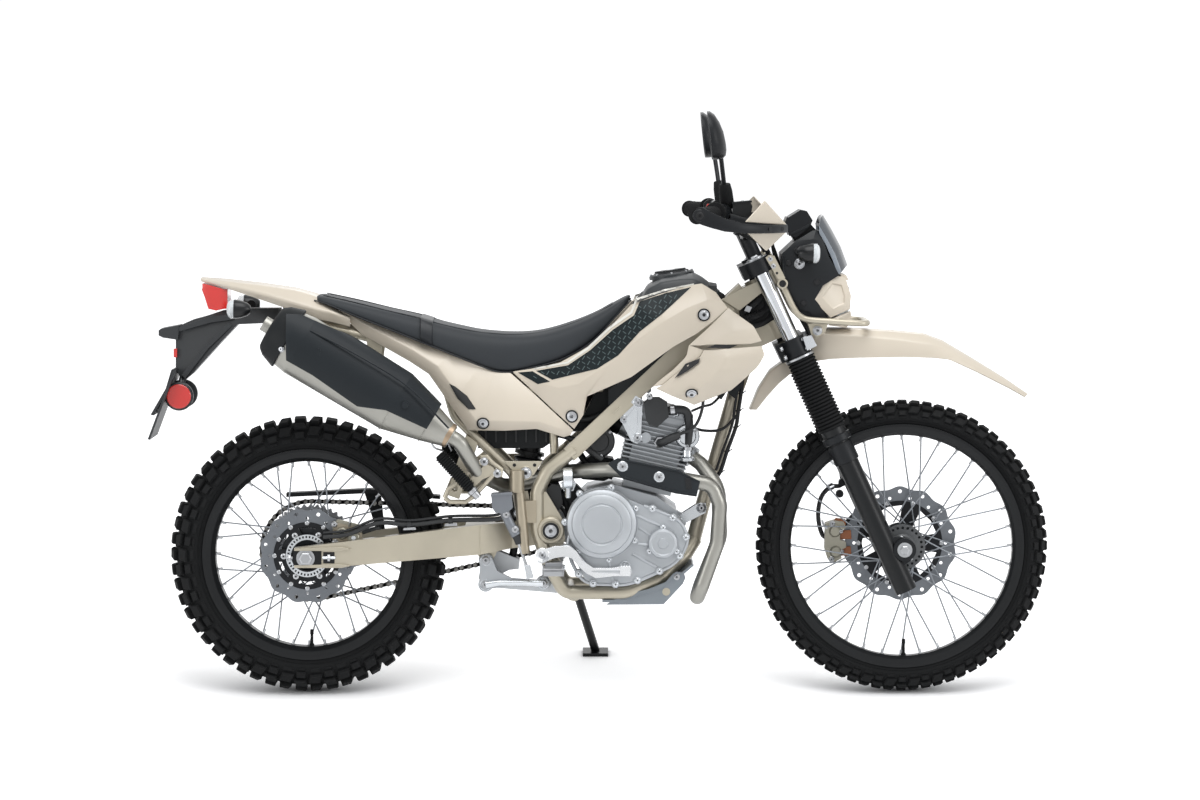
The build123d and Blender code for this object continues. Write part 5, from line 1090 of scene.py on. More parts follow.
def steer(up, ahead, y=0.0):
    """A point of the steering frame: up its axis from the axle's level, ahead of it, sideways."""
    x, _, z = (foot + a * up + b * ahead for foot, a, b in zip(STEER_FOOT, STEER_UP, STEER_AHEAD))
    return Vector((x, y, z))


FENDER_SKIN = (
    # middle, shoulder, side crease, lower edge: (x, height, half width)
    ((1158, 838, 0), (1160, 838, 42), (1162, 826, 56), (1157, 764, 59)),
    ((1192, 839, 0), (1192, 838, 45), (1192, 826, 60), (1200, 770, 64)),
    ((1258, 838, 0), (1258, 837, 46), (1258, 823, 63), (1262, 773, 69)),
    ((1340, 834, 0), (1340, 832, 44), (1350, 815, 64), (1366, 775, 71)),
    ((1412, 827, 0), (1412, 825, 40), (1430, 804, 61), (1434, 773, 69)),
    ((1456, 811, 0), (1456, 808, 36), (1478, 783, 58), (1470, 769, 65)),
    ((1530, 767, 0), (1530, 764, 32), (1540, 745, 50), (1541, 737, 55)),
    ((1603, 722, 0), (1603, 719, 24), (1608, 707, 34), (1610, 702, 38)),
    ((1654, 687, 0), (1653, 686, 12), (1650, 684, 19), (1647, 681, 22)),
)
FENDER_TAIL = (
    ((1140, 800, 0), (1140, 800, 38), (1150, 762, 45)),
    ((1094, 767, 0), (1094, 766, 39), (1106, 735, 46)),
    ((1061, 743, 0), (1061, 741, 39), (1080, 713, 46)),
    ((1034, 702, 0), (1034, 700, 37), (1054, 684, 44)),
    ((1013, 653, 0), (1014, 652, 33), (1029, 652, 39)),
)
panel("front_fender_skin", [(FENDER_SKIN, tan), (FENDER_TAIL, tan)], "steering", ("front_fender",),
    crease=9)

fork_black = finish("black fork casting", (24, 26, 29), 0.42, metal=0.3, grain=0.06, level=0.3)
dress("triple_clamps", clamp_black)
parts = []
for side in (-1, 1):
    parts += [
        lathe([(20, -2), (23, 0), (23, 5), (20, 6), (20, 9), (9, 10.5), (9, 8), (0, 8)],
            steer(738, FORK_AHEAD, side * FORK_Y), STEER_UP, steel, 40),
        lathe([(9, 0), (9, 4.5), (7.5, 6), (0, 6)], steer(746, FORK_AHEAD, side * FORK_Y), STEER_UP, steel, 6),
        # the boots' silver clamp rings and the lower clamp's pinch bolts
        collar([(34, 0), (35.5, 1), (35.5, 5), (34, 6)], steer(496, FORK_AHEAD, side * FORK_Y), STEER_UP, steel, 40),
    ]
    for up in (512, 534):
        parts += [
            *bolt(steer(up, -12, side * 118), (-0.9, side * 0.42, -0.4), steel, 5, 5),
            *bolt(steer(up, 38, side * 112), (0.8, side * 0.6, 0.4), steel, 4.5, 4),
        ]
piece("fork_caps", parts, "steering")

parts = []
for side in (-1, 1):
    # slider ends: a step below the boot, a guard rib ahead and the axle lug with its pinch nuts
    parts += [
        collar([(30, -14), (33, -12), (33.6, 2), (31, 4)], steer(300, FORK_AHEAD, side * FORK_Y), STEER_UP,
            fork_black, 40),
        collar([(27, 0), (29, 1), (29, 40), (27.5, 46), (27, 46)], steer(236, FORK_AHEAD, side * FORK_Y), STEER_UP,
            fork_black, 40),
        collar([(12, 0), (26, 0), (26, -6), (22, -8), (12, -8)], (AXLE_X, side * 119, AXLE_Z), (0, side, 0),
            fork_black, 40),
    ]
    for up in (-26, 26):
        parts += bolt(steer(up, 56, side * 93), (0.909, 0, 0.416), steel, 5, 6)
parts += [
    lathe([(0, 0), (11, 0), (11, 7), (8.5, 9), (0, 9)], (AXLE_X, -118, AXLE_Z), RIGHT, steel, 6),
    rod(17, 0, 2, (AXLE_X, -118, AXLE_Z), RIGHT, steel),
    rod(10, 0, 4, (AXLE_X, 118, AXLE_Z), LEFT, steel, 24),
]
piece("fork_lower_details", parts, "steering", bevel=0.5)

hose_rubber = finish("black brake hose", (22, 23, 25), 0.55)
HOSE = [(1205, 62, 345), (1186, 66, 356), (1177, 72, 398), (1184, 80, 440), (1206, 92, 464), (1234, 106, 474),
    (1216, 116, 560), (1184, 118, 640), (1160, 112, 722), (1164, 86, 772), (1160, 60, 808), (1136, 42, 856),
    (1108, 26, 904), (1078, 10, 962), (1046, 8, 1020), (1018, -20, 1060), (1000, -90, 1078), (985, -170, 1088),
    (962, -205, 1096)]
parts = [tube(HOSE, 8, 5.2, hose_rubber)]
for at, axis in (((1234, 106, 474), (0.2, 0.1, 1)), ((1160, 112, 722), (-0.2, 0, 0.9)),
        ((1206, 92, 464), (1, 0.5, 0.4))):
    parts.append(collar([(5.4, -7), (8.5, -6), (8.5, 6), (5.4, 7)], at, axis, steel, 20))
for at in ((1234, 100, 474), (1228, 98, 448)):
    parts.append(rod(9, -9, 9, at, LEFT, fork_black, 20))
piece("front_brake_hose", parts, "steering")


# Brakes: lobed steel rotors drilled in two rows and held to black carriers, with a slotted signal ring at the hub.
# The calipers are bare castings with brown pad plates, bolted to brackets on the fork leg and the swingarm.
caliper_alloy = finish("bare caliper casting", (150, 147, 134), 0.38, metal=0.6, grain=0.08)
pad_brown = finish("brown pad plate", (150, 92, 58), 0.5, grain=0.05)
rotor_steel = finish("ground rotor steel", (112, 116, 121), 0.34, metal=0.75)
ring_grey = finish("grey hub casting", (88, 90, 92), 0.45, metal=0.5, grain=0.06)


def drilled(outline, holes, y_from, y_to, material):
    """A plate with an (x, z) outline and the holes through it, between two lateral planes."""
    flat = bpy.data.curves.new("plate", "CURVE")
    flat.dimensions = "2D"
    flat.fill_mode = "BOTH"
    flat.extrude = abs(y_to - y_from) / 2000
    for loop in [outline, *holes]:
        spline = flat.splines.new("POLY")
        spline.points.add(len(loop) - 1)
        spline.use_cyclic_u = True
        for point, (x, z) in zip(spline.points, loop):
            point.co = (x / 1000, z / 1000, 0, 1)
    made = bpy.data.objects.new("plate", flat)
    solid = bmesh.new()
    solid.from_mesh(bpy.data.meshes.new_from_object(made))
    bpy.data.objects.remove(made)
    bmesh.ops.remove_doubles(solid, verts=solid.verts, dist=1e-6)
    solid.verts.index_update()
    middle = (y_from + y_to) / 2
    points = [Vector((v.co.x * 1000, middle + v.co.z * 1000, v.co.y * 1000)) for v in solid.verts]
    faces = [tuple(v.index for v in f.verts) for f in solid.faces]
    solid.free()
    return points, faces, material


def around(centre, radius, turn):
    """The (x, z) place at a turn round a centre."""
    return centre[0] + radius * cos(turn), centre[1] + radius * sin(turn)


def circle(centre, radius, sides=16, dip=0.0, lobes=0):
    """Points round a circle of the (x, z) plane, drawn in by dip between its lobes."""
    points = []
    for n in range(sides):
        turn = 2 * pi * n / sides
        reach = radius - dip * (0.5 + 0.5 * cos(lobes * turn))
        points.append(around(centre, reach, turn))
    return points


def ring_of(centre, radius, count, hole_r, phase=0.0, sides=12):
    """Round holes spaced on a circle."""
    turns = [2 * pi * (n + phase) / count for n in range(count)]
    return [circle(around(centre, radius, turn), hole_r, sides) for turn in turns]


def rotor(name, body, centre, brake, hides):
    """A rotor with its carrier, buttons and slotted ring."""
    y, edge, bore, lobes = brake["y"], brake["edge"], brake["bore"], brake["lobes"]
    holes = [circle(centre, bore, 64)] + ring_of(centre, edge - 12, lobes, 4.5, 0.5)
    holes += ring_of(centre, brake["inner_row"], lobes, 3.8)
    parts = [drilled(circle(centre, edge, lobes * 12, brake["dip"], lobes), holes, y - 2, y + 2, rotor_steel)]
    arms, hub = brake["arms"], brake["hub"]
    windows = [circle(centre, hub, 40)]
    for n in range(arms):
        window = []
        for radius, turns in ((bore - 9, (0.2, 0.5, 0.8)), (hub + 14, (0.72, 0.28))):
            window += [around(centre, radius, 2 * pi * (n + t) / arms) for t in turns]
        windows.append(window)
    parts.append(drilled(circle(centre, bore + 1.5, 64), windows, y - 3.4, y + 3.4, fork_black))
    for n in range(arms * 2):
        x, z = around(centre, bore - 1, pi * n / arms)
        parts.append(lathe([(0, y - 4.2), (3.6, y - 4.2), (5, y - 3.4), (5, y + 3.4), (3.6, y + 4.2), (0, y + 4.2)],
            (x, 0, z), LEFT, steel, 14))
    slots = brake["slots"]
    teeth = [circle(centre, hub + 3, 40)]
    for n in range(slots):
        low, high = 2 * pi * n / slots, 2 * pi * (n + 0.5) / slots
        teeth.append([around(centre, r, t) for r, t in ((hub + 7, low), (hub + 12, low), (hub + 12, high),
            (hub + 7, high))])
    side = brake["ring_side"]
    parts.append(drilled(circle(centre, hub + 15, 60), teeth, y + side * 3.6, y + side * 5.4, bright_alloy))
    for n in range(arms):
        x, z = around(centre, hub + 20, 2 * pi * (n + 0.02) / arms)
        parts += bolt((x, y + side * 3.4, z), (0, side, 0), steel, 5.4, 4)
    return piece(name, parts, body, hides, bevel=0.3)


FRONT_BRAKE = {"y": 52, "edge": 132, "dip": 6, "lobes": 14, "inner_row": 106, "bore": 97, "arms": 5, "hub": 32,
    "slots": 40, "ring_side": 1}
REAR_BRAKE = {"y": -56, "edge": 110, "dip": 6, "lobes": 12, "inner_row": 86, "bore": 76, "arms": 6, "hub": 34,
    "slots": 36, "ring_side": -1}
rotor("front_rotor", "front_wheel", FRONT_AXLE, FRONT_BRAKE, ("front_disc",))
rotor("rear_rotor", "rear_wheel", REAR_AXLE, REAR_BRAKE, ("rear_disc",))
hub_ring = [
    drilled(circle(FRONT_AXLE, 52, 64), [circle(FRONT_AXLE, 24, 32)] + ring_of(FRONT_AXLE, 44, 24, 3.2), -46, -42,
        ring_grey),
    collar([(23, -42), (30, -42), (30, -52), (26, -56), (23, -56)], (FRONT_AXLE[0], 0, FRONT_AXLE[1]), LEFT,
        ring_grey, 40),
]
piece("front_hub_ring", hub_ring, "front_wheel", bevel=0.4)

CALIPER = [(1192, 384), (1214, 391), (1234, 388), (1240, 374), (1226, 366), (1226, 346), (1240, 341), (1240, 328),
    (1226, 322), (1230, 303), (1212, 293), (1198, 300), (1190, 326)]
parts = [
    slab(CALIPER, 34, 47, caliper_alloy),
    slab(CALIPER, 58, 74, caliper_alloy),
    slab([(1192, 378), (1210, 384), (1214, 300), (1198, 302)], 46, 59, caliper_alloy),
]
for x, z in ((1214, 366), (1216, 318)):
    parts += [
        lathe([(0, 29), (10, 29), (14, 33), (15, 38), (15, 74), (12, 82), (0, 82)], (x, 0, z), LEFT, caliper_alloy),
        *bolt((x + 14, 34, z), RIGHT, steel, 4.5, 5),
    ]
for x, z in ((1208, 384), (1206, 301)):
    parts += bolt((x, 34, z), RIGHT, steel, 5.5, 6)
for low, high in ((346, 366), (308, 328)):
    for near, far in ((40, 47.5), (56.5, 64)):
        parts.append(slab([(1220, high), (1251, high + 2), (1253, low + 1), (1221, low)], near, far, pad_brown))
parts.append(slab([(1202, 378), (1216, 396), (1238, 394), (1240, 380)], 40, 47.5, pad_brown))
BRACKET = [(1236, 384), (1256, 404), (1296, 402), (1322, 388), (1322, 360), (1296, 350), (1262, 342), (1246, 336),
    (1238, 350)]
parts.append(slab(BRACKET, 62, 78, fork_black))
for x, z in ((1304, 392), (1308, 362)):
    parts += bolt((x, 78, z), LEFT, steel, 6.5, 6)
parts.append(sweep([(1196, 36, 372), (1188, 32, 380), (1184, 32, 392)], [3, 3, 2.4], steel, 10))
piece("front_caliper_casting", parts, "steering", ("front_caliper",), bevel=1.6)

rear_caliper = []
for x, z in ((82, 372), (108, 362)):
    rear_caliper += [
        lathe([(0, -82), (15, -82), (14, -90), (11, -92), (0, -92)], (x, 0, z), LEFT, caliper_alloy),
        rod(6, -92, -93.5, (x, 0, z), LEFT, bright_alloy, 6),
    ]
rear_caliper.append(slab([(58, 392), (72, 404), (118, 392), (132, 376), (128, 366), (60, 380)], -80, -70,
    caliper_alloy))
for x, z in ((64, 392), (124, 380), (122, 346), (66, 352)):
    rear_caliper += bolt((x, -83, z), RIGHT, steel, 5.5, 6)
rear_caliper += [
    sweep([(98, -84, 388), (100, -90, 398), (100, -90, 408)], [3, 3, 2.4], steel, 10),
    tube([(128, -84, 374), (146, -88, 380), (170, -100, 388)], 6, 5, engine_rubber),
]
piece("rear_caliper_pins", rear_caliper, "chassis", bevel=0.8)

parts = []
LEG_LUG = [(1322, 402), (1338, 366), (1358, 366), (1378, 356), (1387, 336), (1380, 312), (1362, 300), (1344, 296),
    (1330, 330)]
for side in (-1, 1):
    parts += [
        slab(LEG_LUG, side * 82, side * 111, fork_black),
        *bolt((1352, side * 111, 309), (0, side, 0), steel, 4.5, 3),
        # the lug's pinch slit is a dark slab of painted shade
        slab([(1356, 300), (1360, 300), (1357, 318), (1353, 318)], side * 80, side * 112, black_parts_and_hole_shade),
    ]
piece("fork_axle_lugs", parts, "steering", bevel=2.4)


# Wiring and cables: black looms loop round the head tube inside the fork's reach, and a taped harness runs down the
# down tube to the engine, with its plastic cover, ties and plugs.
loom_and_backing_shade_black = finish("black loom sleeve and painted backing shade", (20, 21, 23), 0.6, grain=0.06, level=0.3)
LOOMS = (
    (((1000, -44, 876), (1013, -50, 886), (1032, -52, 901), (1044, -46, 918), (1034, -38, 940)), 7.0),
    (((996, -40, 858), (1011, -50, 863), (1036, -52, 871), (1054, -45, 888), (1046, -36, 912)), 7.5),
    (((1004, -38, 842), (1027, -50, 845), (1048, -50, 853), (1062, -45, 866), (1060, -36, 886)), 6.0),
)
parts = []
for route, radius in LOOMS:
    loom = tube(route, 7, radius, loom_and_backing_shade_black)
    parts += [loom, flipped(loom)]
for side in (-1, 1):
    # a ribbed sleeve, a pale plug and the tank's rubber-cushioned fixing
    sleeve = [(7.6, 0)]
    for n in range(6):
        sleeve += [(9.8, n * 5 + 1), (9.8, n * 5 + 3), (8.0, n * 5 + 4), (8.0, n * 5 + 5)]
    parts += [
        lathe(sleeve, (1008, side * 50, 863), (0.94, side * 0.04, 0.32), loom_and_backing_shade_black, 20),
        slab([(1000, 880), (1006, 892), (1018, 888), (1012, 876)], side * 50, side * 60, steel),
        lathe([(0, 0), (11, 0), (13, 3), (13, 7), (9, 9), (9, 12), (0, 12)], (944, side * 40, 908), (0.5, 0, 0.86),
            loom_and_backing_shade_black, 24),
        # a dark backing sheet behind the looms, painted shade
        slab([(990, 881), (1038, 920), (1056, 914), (1076, 862), (1030, 840), (1000, 850), (990, 866)], side * 38,
            side * 45, loom_and_backing_shade_black),
        # the spar's box end, welded to the head tube
        slab([(948, 906), (989, 880), (1040, 921), (1047, 944), (1035, 950)], side * 50, side * 57, champagne),
    ]
piece("head_looms", parts, "chassis", bevel=0.3)

HARNESS = [(1000, -24, 742), (994, -32, 690), (988, -34, 650), (982, -34, 612), (962, -34, 556), (946, -32, 508),
    (924, -30, 484), (896, -26, 470)]
parts = [
    tube(HARNESS, 7, 4.6, loom_and_backing_shade_black),
    tube([(x - 9, y - 3, z + 4) for x, y, z in HARNESS[:6]], 7, 3.2, loom_and_backing_shade_black, 10),
    tube([(986, -34, 640), (950, -44, 608), (905, -54, 606), (866, -60, 620)], 8, 3.4, loom_and_backing_shade_black, 10),
    tube([(960, -30, 700), (930, -46, 668), (905, -50, 660), (880, -56, 650)], 8, 3.0, loom_and_backing_shade_black, 10),
]
for x, y, z in HARNESS[1:6]:
    parts += [
        collar([(4.4, -2.5), (6.2, -2.5), (6.2, 2.5), (4.4, 2.5)], (x, y, z), (-0.3, 0, 1), loom_and_backing_shade_black, 16),
        sweep([(x + 4, y, z), (x + 12, y - 2, z + 6)], 1.2, loom_and_backing_shade_black, 6),
    ]
parts += [
    slab([(966, 748), (1000, 750), (1003, 735), (992, 700), (980, 678), (964, 690)], -48, -14, black_plastic),
    slab([(936, 724), (962, 736), (964, 700), (948, 676), (930, 692)], -58, -22, black_plastic),
    # behind the clutch cover: the starter motor, a hose and two cables
    lathe([(0, -60), (20, -60), (27, -54), (27, 50), (0, 50)], (604, 0, 452), LEFT, black_metal, 36),
]
for route, radius in ((((560, -50, 520), (572, -58, 480), (592, -60, 440), (604, -58, 404)), 7),
        (((588, -48, 540), (600, -62, 496), (618, -66, 470), (640, -62, 452)), 9),
        (((548, -60, 500), (566, -72, 452), (590, -78, 420), (600, -80, 392)), 4),
        (((620, -40, 560), (640, -52, 530), (668, -58, 512), (700, -56, 500)), 8)):
    parts.append(tube(route, 7, radius, loom_and_backing_shade_black))
parts.append(slab([(612, 520), (652, 548), (700, 540), (716, 506), (680, 488), (630, 492)], -40, 30, black_plastic))
piece("engine_harness", parts, "chassis", bevel=0.6)


# The nose: a black moulded nacelle on champagne brackets, a smoked screen with a painted reflection along its bent
# edge, an instrument pod, a tan lamp surround of faceted pieces and a headlight lens. Signals stand on its sides and
# a bent tube guards the lamp from below.
nacelle_black = finish("black nacelle plastic", (23, 26, 29), 0.36, grain=0.05, wear=0.08, level=0.26)
NACELLE = (
    # rear edge, middle, front edge of a side: (x, height, half width)
    ((1150, 866, 78), (1167, 864, 82), (1190, 864, 76)),
    ((1120, 877, 82), (1145, 880, 88), (1180, 884, 84)),
    ((1104, 907, 84), (1130, 907, 90), (1160, 907, 88)),
    ((1092, 935, 86), (1136, 935, 92), (1178, 938, 88)),
    ((1085, 970, 86), (1150, 966, 92), (1216, 962, 80)),
    ((1084, 1010, 84), (1140, 1012, 90), (1192, 1004, 79)),
    ((1116, 1040, 80), (1156, 1044, 85), (1180, 1040, 75)),
    ((1153, 1062, 72), (1163, 1065, 73), (1172, 1062, 68)),
)
rings = []
for rear, middle, front in NACELLE:
    half = [rear, middle, front, (front[0] + 5, front[1], front[2] * 0.55)]
    rings.append([(x, y, z) for x, z, y in half] + [(x, -y, z) for x, z, y in reversed(half)])
parts = [loft(rings, nacelle_black)]
for side, away in SIDES:
    parts += bolt((1124, side * 92, 988), away, steel, 8, 5, (12, steel))
    for x, z in ((1100, 990), (1164, 946), (1134, 899), (1118, 1018)):
        parts.append(lathe([(0, 0), (7, 0), (6, 2.5), (0, 2.5)], (x, side * 90, z), away, black_parts_and_hole_shade, 20))
    # a raised rib along the rear edge
    parts.append(sweep([(1122, side * 84, 880), (1106, side * 86, 909), (1095, side * 88, 936),
        (1088, side * 88, 970), (1087, side * 86, 1008)], 3.0, nacelle_black, 10))
METER = [(1094, 1079), (1099, 1092), (1128, 1110), (1143, 1107), (1156, 1086), (1150, 1072), (1118, 1046),
    (1102, 1052)]
parts += [
    slab(METER, -58, 58, clamp_black),
    slab([(1106, 1054), (1150, 1080), (1166, 1062), (1118, 1034)], -40, 40, clamp_black),
    slab([(1091.6, 1079), (1097.4, 1094), (1100.4, 1092.8), (1094.8, 1078)], -54, 54, signal_black),
]
for y in (-50, 50):
    parts.append(slab([(1102, 1050), (1108, 1058), (1150, 1079), (1147, 1071)], y - 10, y + 10, nacelle_black))
piece("nacelle", parts, "steering", ("headlight_cowl",), bevel=2.2)
face = finish("dark instrument glass", (30, 37, 42), 0.12, grain=0.0, coat=0.5)
piece("instrument_glass", [slab([(1093.5, 1080), (1098.6, 1093.5), (1097.8, 1094), (1092.8, 1080.4)], -46, 46, face)],
    "steering", bevel=0.3)

SCREEN = (
    # height by height, from the middle to the side
    ((1181, 1099, 0), (1180, 1099, 38), (1175, 1094, 62), (1169, 1076, 75), (1170, 1057, 76)),
    ((1202, 1065, 0), (1201, 1064, 39), (1194, 1060, 63), (1186, 1048, 76), (1184, 1033, 77)),
    ((1222, 1027, 0), (1221, 1026, 40), (1214, 1022, 64), (1206, 1011, 76), (1199, 1000, 77)),
    ((1238, 985, 0), (1237, 984, 40), (1230, 978, 63), (1222, 969, 74), (1213, 962, 76)),
)
smoked = finish("smoked screen", (60, 66, 73), 0.1, grain=0.01, coat=0.7, level=0.85)
# The screen's side strips take a pale finish that paints a reflection on them.
screen_edge_reflection = finish("painted reflection on the screen's edge", (128, 136, 145), 0.16, grain=0.01, coat=0.6)
panel("smoked_screen", [([row[:4] for row in SCREEN], smoked), ([row[3:] for row in SCREEN], screen_edge_reflection)],
    "steering", ("windscreen",), crease=6, wall=2.6)

PENTAGON = ((1192, 963, 80), (1153, 909, 86), (1196, 865, 84), (1240, 884, 76), (1243, 915, 73), (1230, 957, 71))
LOWER_PLATE = ((1198, 862, 80), (1192, 847, 76), (1234, 841, 62), (1246, 860, 66), (1242, 880, 70))


def plate_rings(outline, steps):
    """Rings over an (x, z, half width) outline: each step is a share of its size and a shift outward."""
    middle = [sum(p[k] for p in outline) / len(outline) for k in range(3)]
    return [[(middle[0] + (x - middle[0]) * share, y + out, middle[1] + (z - middle[1]) * share)
        for x, z, y in outline] for share, out in steps]


parts = []
for side in (-1, 1):
    for outline, steps in ((PENTAGON, ((0.9, -22), (1.0, -6), (1.0, 0), (0.62, 3.4), (0.6, 3.4), (0.52, 0.2))),
            (LOWER_PLATE, ((0.9, -20), (1.0, -5), (1.0, 0), (0.6, 2.0)))):
        part = loft(plate_rings(outline, steps), tan)
        parts.append(part if side == 1 else flipped(part))
for low, high in (((1238, 950), (1232, 962)), ((1246, 846), (1242, 860))):
    parts.append(slab([low, high, (high[0] - 14, high[1] + 2), (low[0] - 14, low[1] + 2)], -70, 70, tan))
piece("lamp_surround_skin", parts, "steering", ("lamp_surround",), bevel=2.4)

lamp_glass = finish("headlight glass", (214, 220, 224), 0.06, grain=0.0, coat=0.8, level=0.85)
reflector = finish("lamp reflector", (150, 156, 162), 0.12, metal=1.0)
lens_rings = []
for y, out in ((-66, -12), (-60, -2), (-36, 3), (0, 5), (36, 3), (60, -2), (66, -12)):
    lens_rings.append([(1206, y, 948), (1229 + out * 0.8, y, 956), (1238 + out, y, 920), (1240 + out, y, 884),
        (1236 + out * 0.8, y, 862), (1212, y, 858)])
parts = [loft(lens_rings, lamp_glass)]
for y in (-30, 30):
    parts.append(lathe([(0, 0), (8, 2), (18, 8), (25, 18), (26, 20)], (1222, y, 908), (1, 0, 0.06), reflector))
piece("headlight_lens", parts, "steering", ("headlight",), bevel=2.0)

parts = []
for side in (-1, 1):
    x, y, z = 1146, side * 128, 1013
    nose = (1, 0, -0.03)
    parts += [
        lathe([(0, -30), (9, -29), (16, -22), (21, -8), (23, 6), (22.5, 8)], (x, y, z), nose, signal_black, 36),
        lathe([(22, 7), (22, 15), (19, 20), (13, 23), (0, 24)], (x, y, z), nose, clear_lens, 36),
        lathe([(9, 0), (8, 6), (9.4, 8), (7.8, 12), (9, 15), (8, 22), (11, 27), (11, 36), (0, 36)],
            (x - 10, y - side * 12, z), (0, -side, 0), rubber, 24),
    ]
    for n in range(5):
        parts.append(lathe([(22, 0.0), (22.9, 0.8), (22, 1.6)], (x + 8 + n * 1.8, y, z), nose, clear_lens, 36))
piece("front_signal_pods", parts, "steering", ("front_signals",), angle=40)

guard_line = [(1050, 74, 1008), (1068, 84, 968), (1090, 98, 930), (1113, 104, 884), (1128, 105, 868),
    (1148, 105, 861), (1200, 103, 857), (1262, 97, 853), (1278, 82, 853), (1280, 50, 853), (1280, 0, 853)]
parts = []
for side, away in SIDES:
    line = smooth_line([(x, side * y, z) for x, y, z in guard_line], 6)
    parts.append(sweep(line, 7.2, champagne, 20))
    upper = [(1038, 1004), (1044, 1014), (1060, 1013), (1082, 962), (1098, 937), (1092, 928), (1076, 934),
        (1066, 948)]
    parts.append(slab(upper, side * 82, side * 88, champagne))
    for x, z, size in ((1052, 1003, 7), (1060, 984, 7), (1084, 942, 8.5)):
        parts += bolt((x, side * 88, z), away, steel, size, 4, (size + 4, champagne))
    parts += [
        slab([(1144, 852), (1190, 852), (1184, 832), (1166, 820), (1152, 826)], side * 84, side * 90, champagne),
        *bolt((1166, side * 90, 836), away, steel, 9, 5, (13, champagne)),
    ]
piece("lamp_guard_tube", parts, "steering", ("lamp_guard",), bevel=1.0)

parts = []
for side, away in SIDES:
    parts.append(slab([(1046, 1003), (1053, 1009), (1066, 1007), (1091, 957), (1087, 951), (1074, 955)], side * 118,
        side * 122, champagne))
    for x, z in ((1057, 1000), (1064, 984)):
        parts += bolt((x, side * 122, z), away, steel, 4.6, 3)
    parts += [
        # a hole and the boss's recess are dark discs of painted shade
        rod(3, 0, 0.6, (1072, side * 122, 968), away, black_parts_and_hole_shade, 16),
        lathe([(0, -10), (12, -10), (12, 3), (9, 4), (0, 4)], (1085, side * 118, 944), away, champagne),
        lathe([(0, 4), (8, 4), (8, 6), (5, 6), (5, 4.6), (0, 4.6)], (1085, side * 118, 944), away, black_parts_and_hole_shade, 24),
        slab([(1131, 822), (1151, 827), (1163, 803), (1141, 792)], side * 98, side * 124, bright_alloy),
    ]
piece("lamp_guard_brackets", parts, "steering", bevel=1.4)


# The handlebar's fittings: ribbed rubber grips, black guard arms from the bar's ends with folded tan deflectors,
# mirrors on sleeved stems, switch housings, the brake reservoir and cables that run into the lamp's nacelle.
def bar_at(share, side):
    """A point on the straight hand part of the bar, from its end to where it bends."""
    return Vector((884, side * 402, 1104)).lerp(Vector((936, side * 262, 1106)), share)


def ribbon(stations, thickness, material):
    """A flat bar along (x, y, low, high) stations, as thick sideways as given."""
    rings = []
    for n, (x, y, low, high) in enumerate(stations):
        before, after = stations[max(n - 1, 0)], stations[min(n + 1, len(stations) - 1)]
        ahead = Vector((after[0] - before[0], after[1] - before[1], 0)).normalized()
        across = Vector((-ahead.y, ahead.x, 0)) * thickness / 2
        soft = (high - low) * 0.22
        rings.append([Vector((x, y, 0)) + across * side + Vector((0, 0, z)) for side, z in (
            (-0.7, low), (0.7, low), (1, low + soft), (1, high - soft), (0.7, high), (-0.7, high), (-1, high - soft),
            (-1, low + soft))])
    return loft(rings, material)


parts = []
for side in (-1, 1):
    along = (bar_at(1, side) - bar_at(0, side)).normalized()
    profile = [(11.6, -1), (19.5, -1), (19.5, 3), (17, 5)]
    for n in range(22):
        profile += [(16.2, 8 + n * 5.1), (17.4, 9.2 + n * 5.1), (17.4, 11.4 + n * 5.1), (16.2, 12.6 + n * 5.1)]
    profile += [(16, 121), (25, 123), (26, 125), (25, 128), (16, 129), (11.6, 129)]
    parts.append(collar(profile, bar_at(0, side), along, rubber, 36))
piece("ribbed_grips", parts, "steering", ("grips",), angle=40)

GUARD_ARM = ((884, 413, 1088, 1121), (897, 416, 1083, 1122), (915, 417, 1077, 1112), (945, 414, 1069, 1098),
    (985, 404, 1065, 1086), (1022, 382, 1064, 1083), (1052, 352, 1064, 1082), (1073, 320, 1064, 1082),
    (1084, 292, 1064, 1082), (1078, 268, 1066, 1084), (1040, 256, 1070, 1088), (1000, 250, 1077, 1094),
    (962, 248, 1088, 1106))
parts = []
for side, away in SIDES:
    parts += [
        ribbon([(x, side * y, low, high) for x, y, low, high in GUARD_ARM], 11, clamp_black),
        lathe([(0, 3), (15, 3), (15, 12), (12, 15), (0, 15)], (890, side * 407, 1104), away, clamp_black),
        *bolt((890, side * 421, 1104), away, black_parts_and_hole_shade, 8, 4),
        collar([(17.5, -9), (19, -8), (19, 8), (17.5, 9)], bar_at(1.06, side), (0.35, -side, 0.01), clamp_black, 28),
    ]
    for x, y in ((1046, 365), (1074, 326)):
        parts.append(rod(5, 0, 3, (x, side * y, 1073), (0.6, side * 0.7, 0), black_parts_and_hole_shade, 18))
piece("guard_arms", parts, "steering", ("hand_guards",), bevel=1.5)
DEFLECTORS = (
    ((992, 389, 1090), (1036, 341, 1136), (1086, 301, 1082), (1070, 232, 1098)),
    ((996, 389, 1066), (1040, 336, 1024), (1086, 301, 1066), (1068, 234, 1052)),
)
parts = []
for side in (-1, 1):
    for outer, peak, nose, inner in DEFLECTORS:
        points = [Vector((x, side * y, z)) for x, y, z in (outer, peak, nose, inner)]
        parts.append((points, [(0, 1, 2), (1, 3, 2)], tan))
piece("hand_deflectors", parts, "steering", shell=3.5, bevel=1.6)

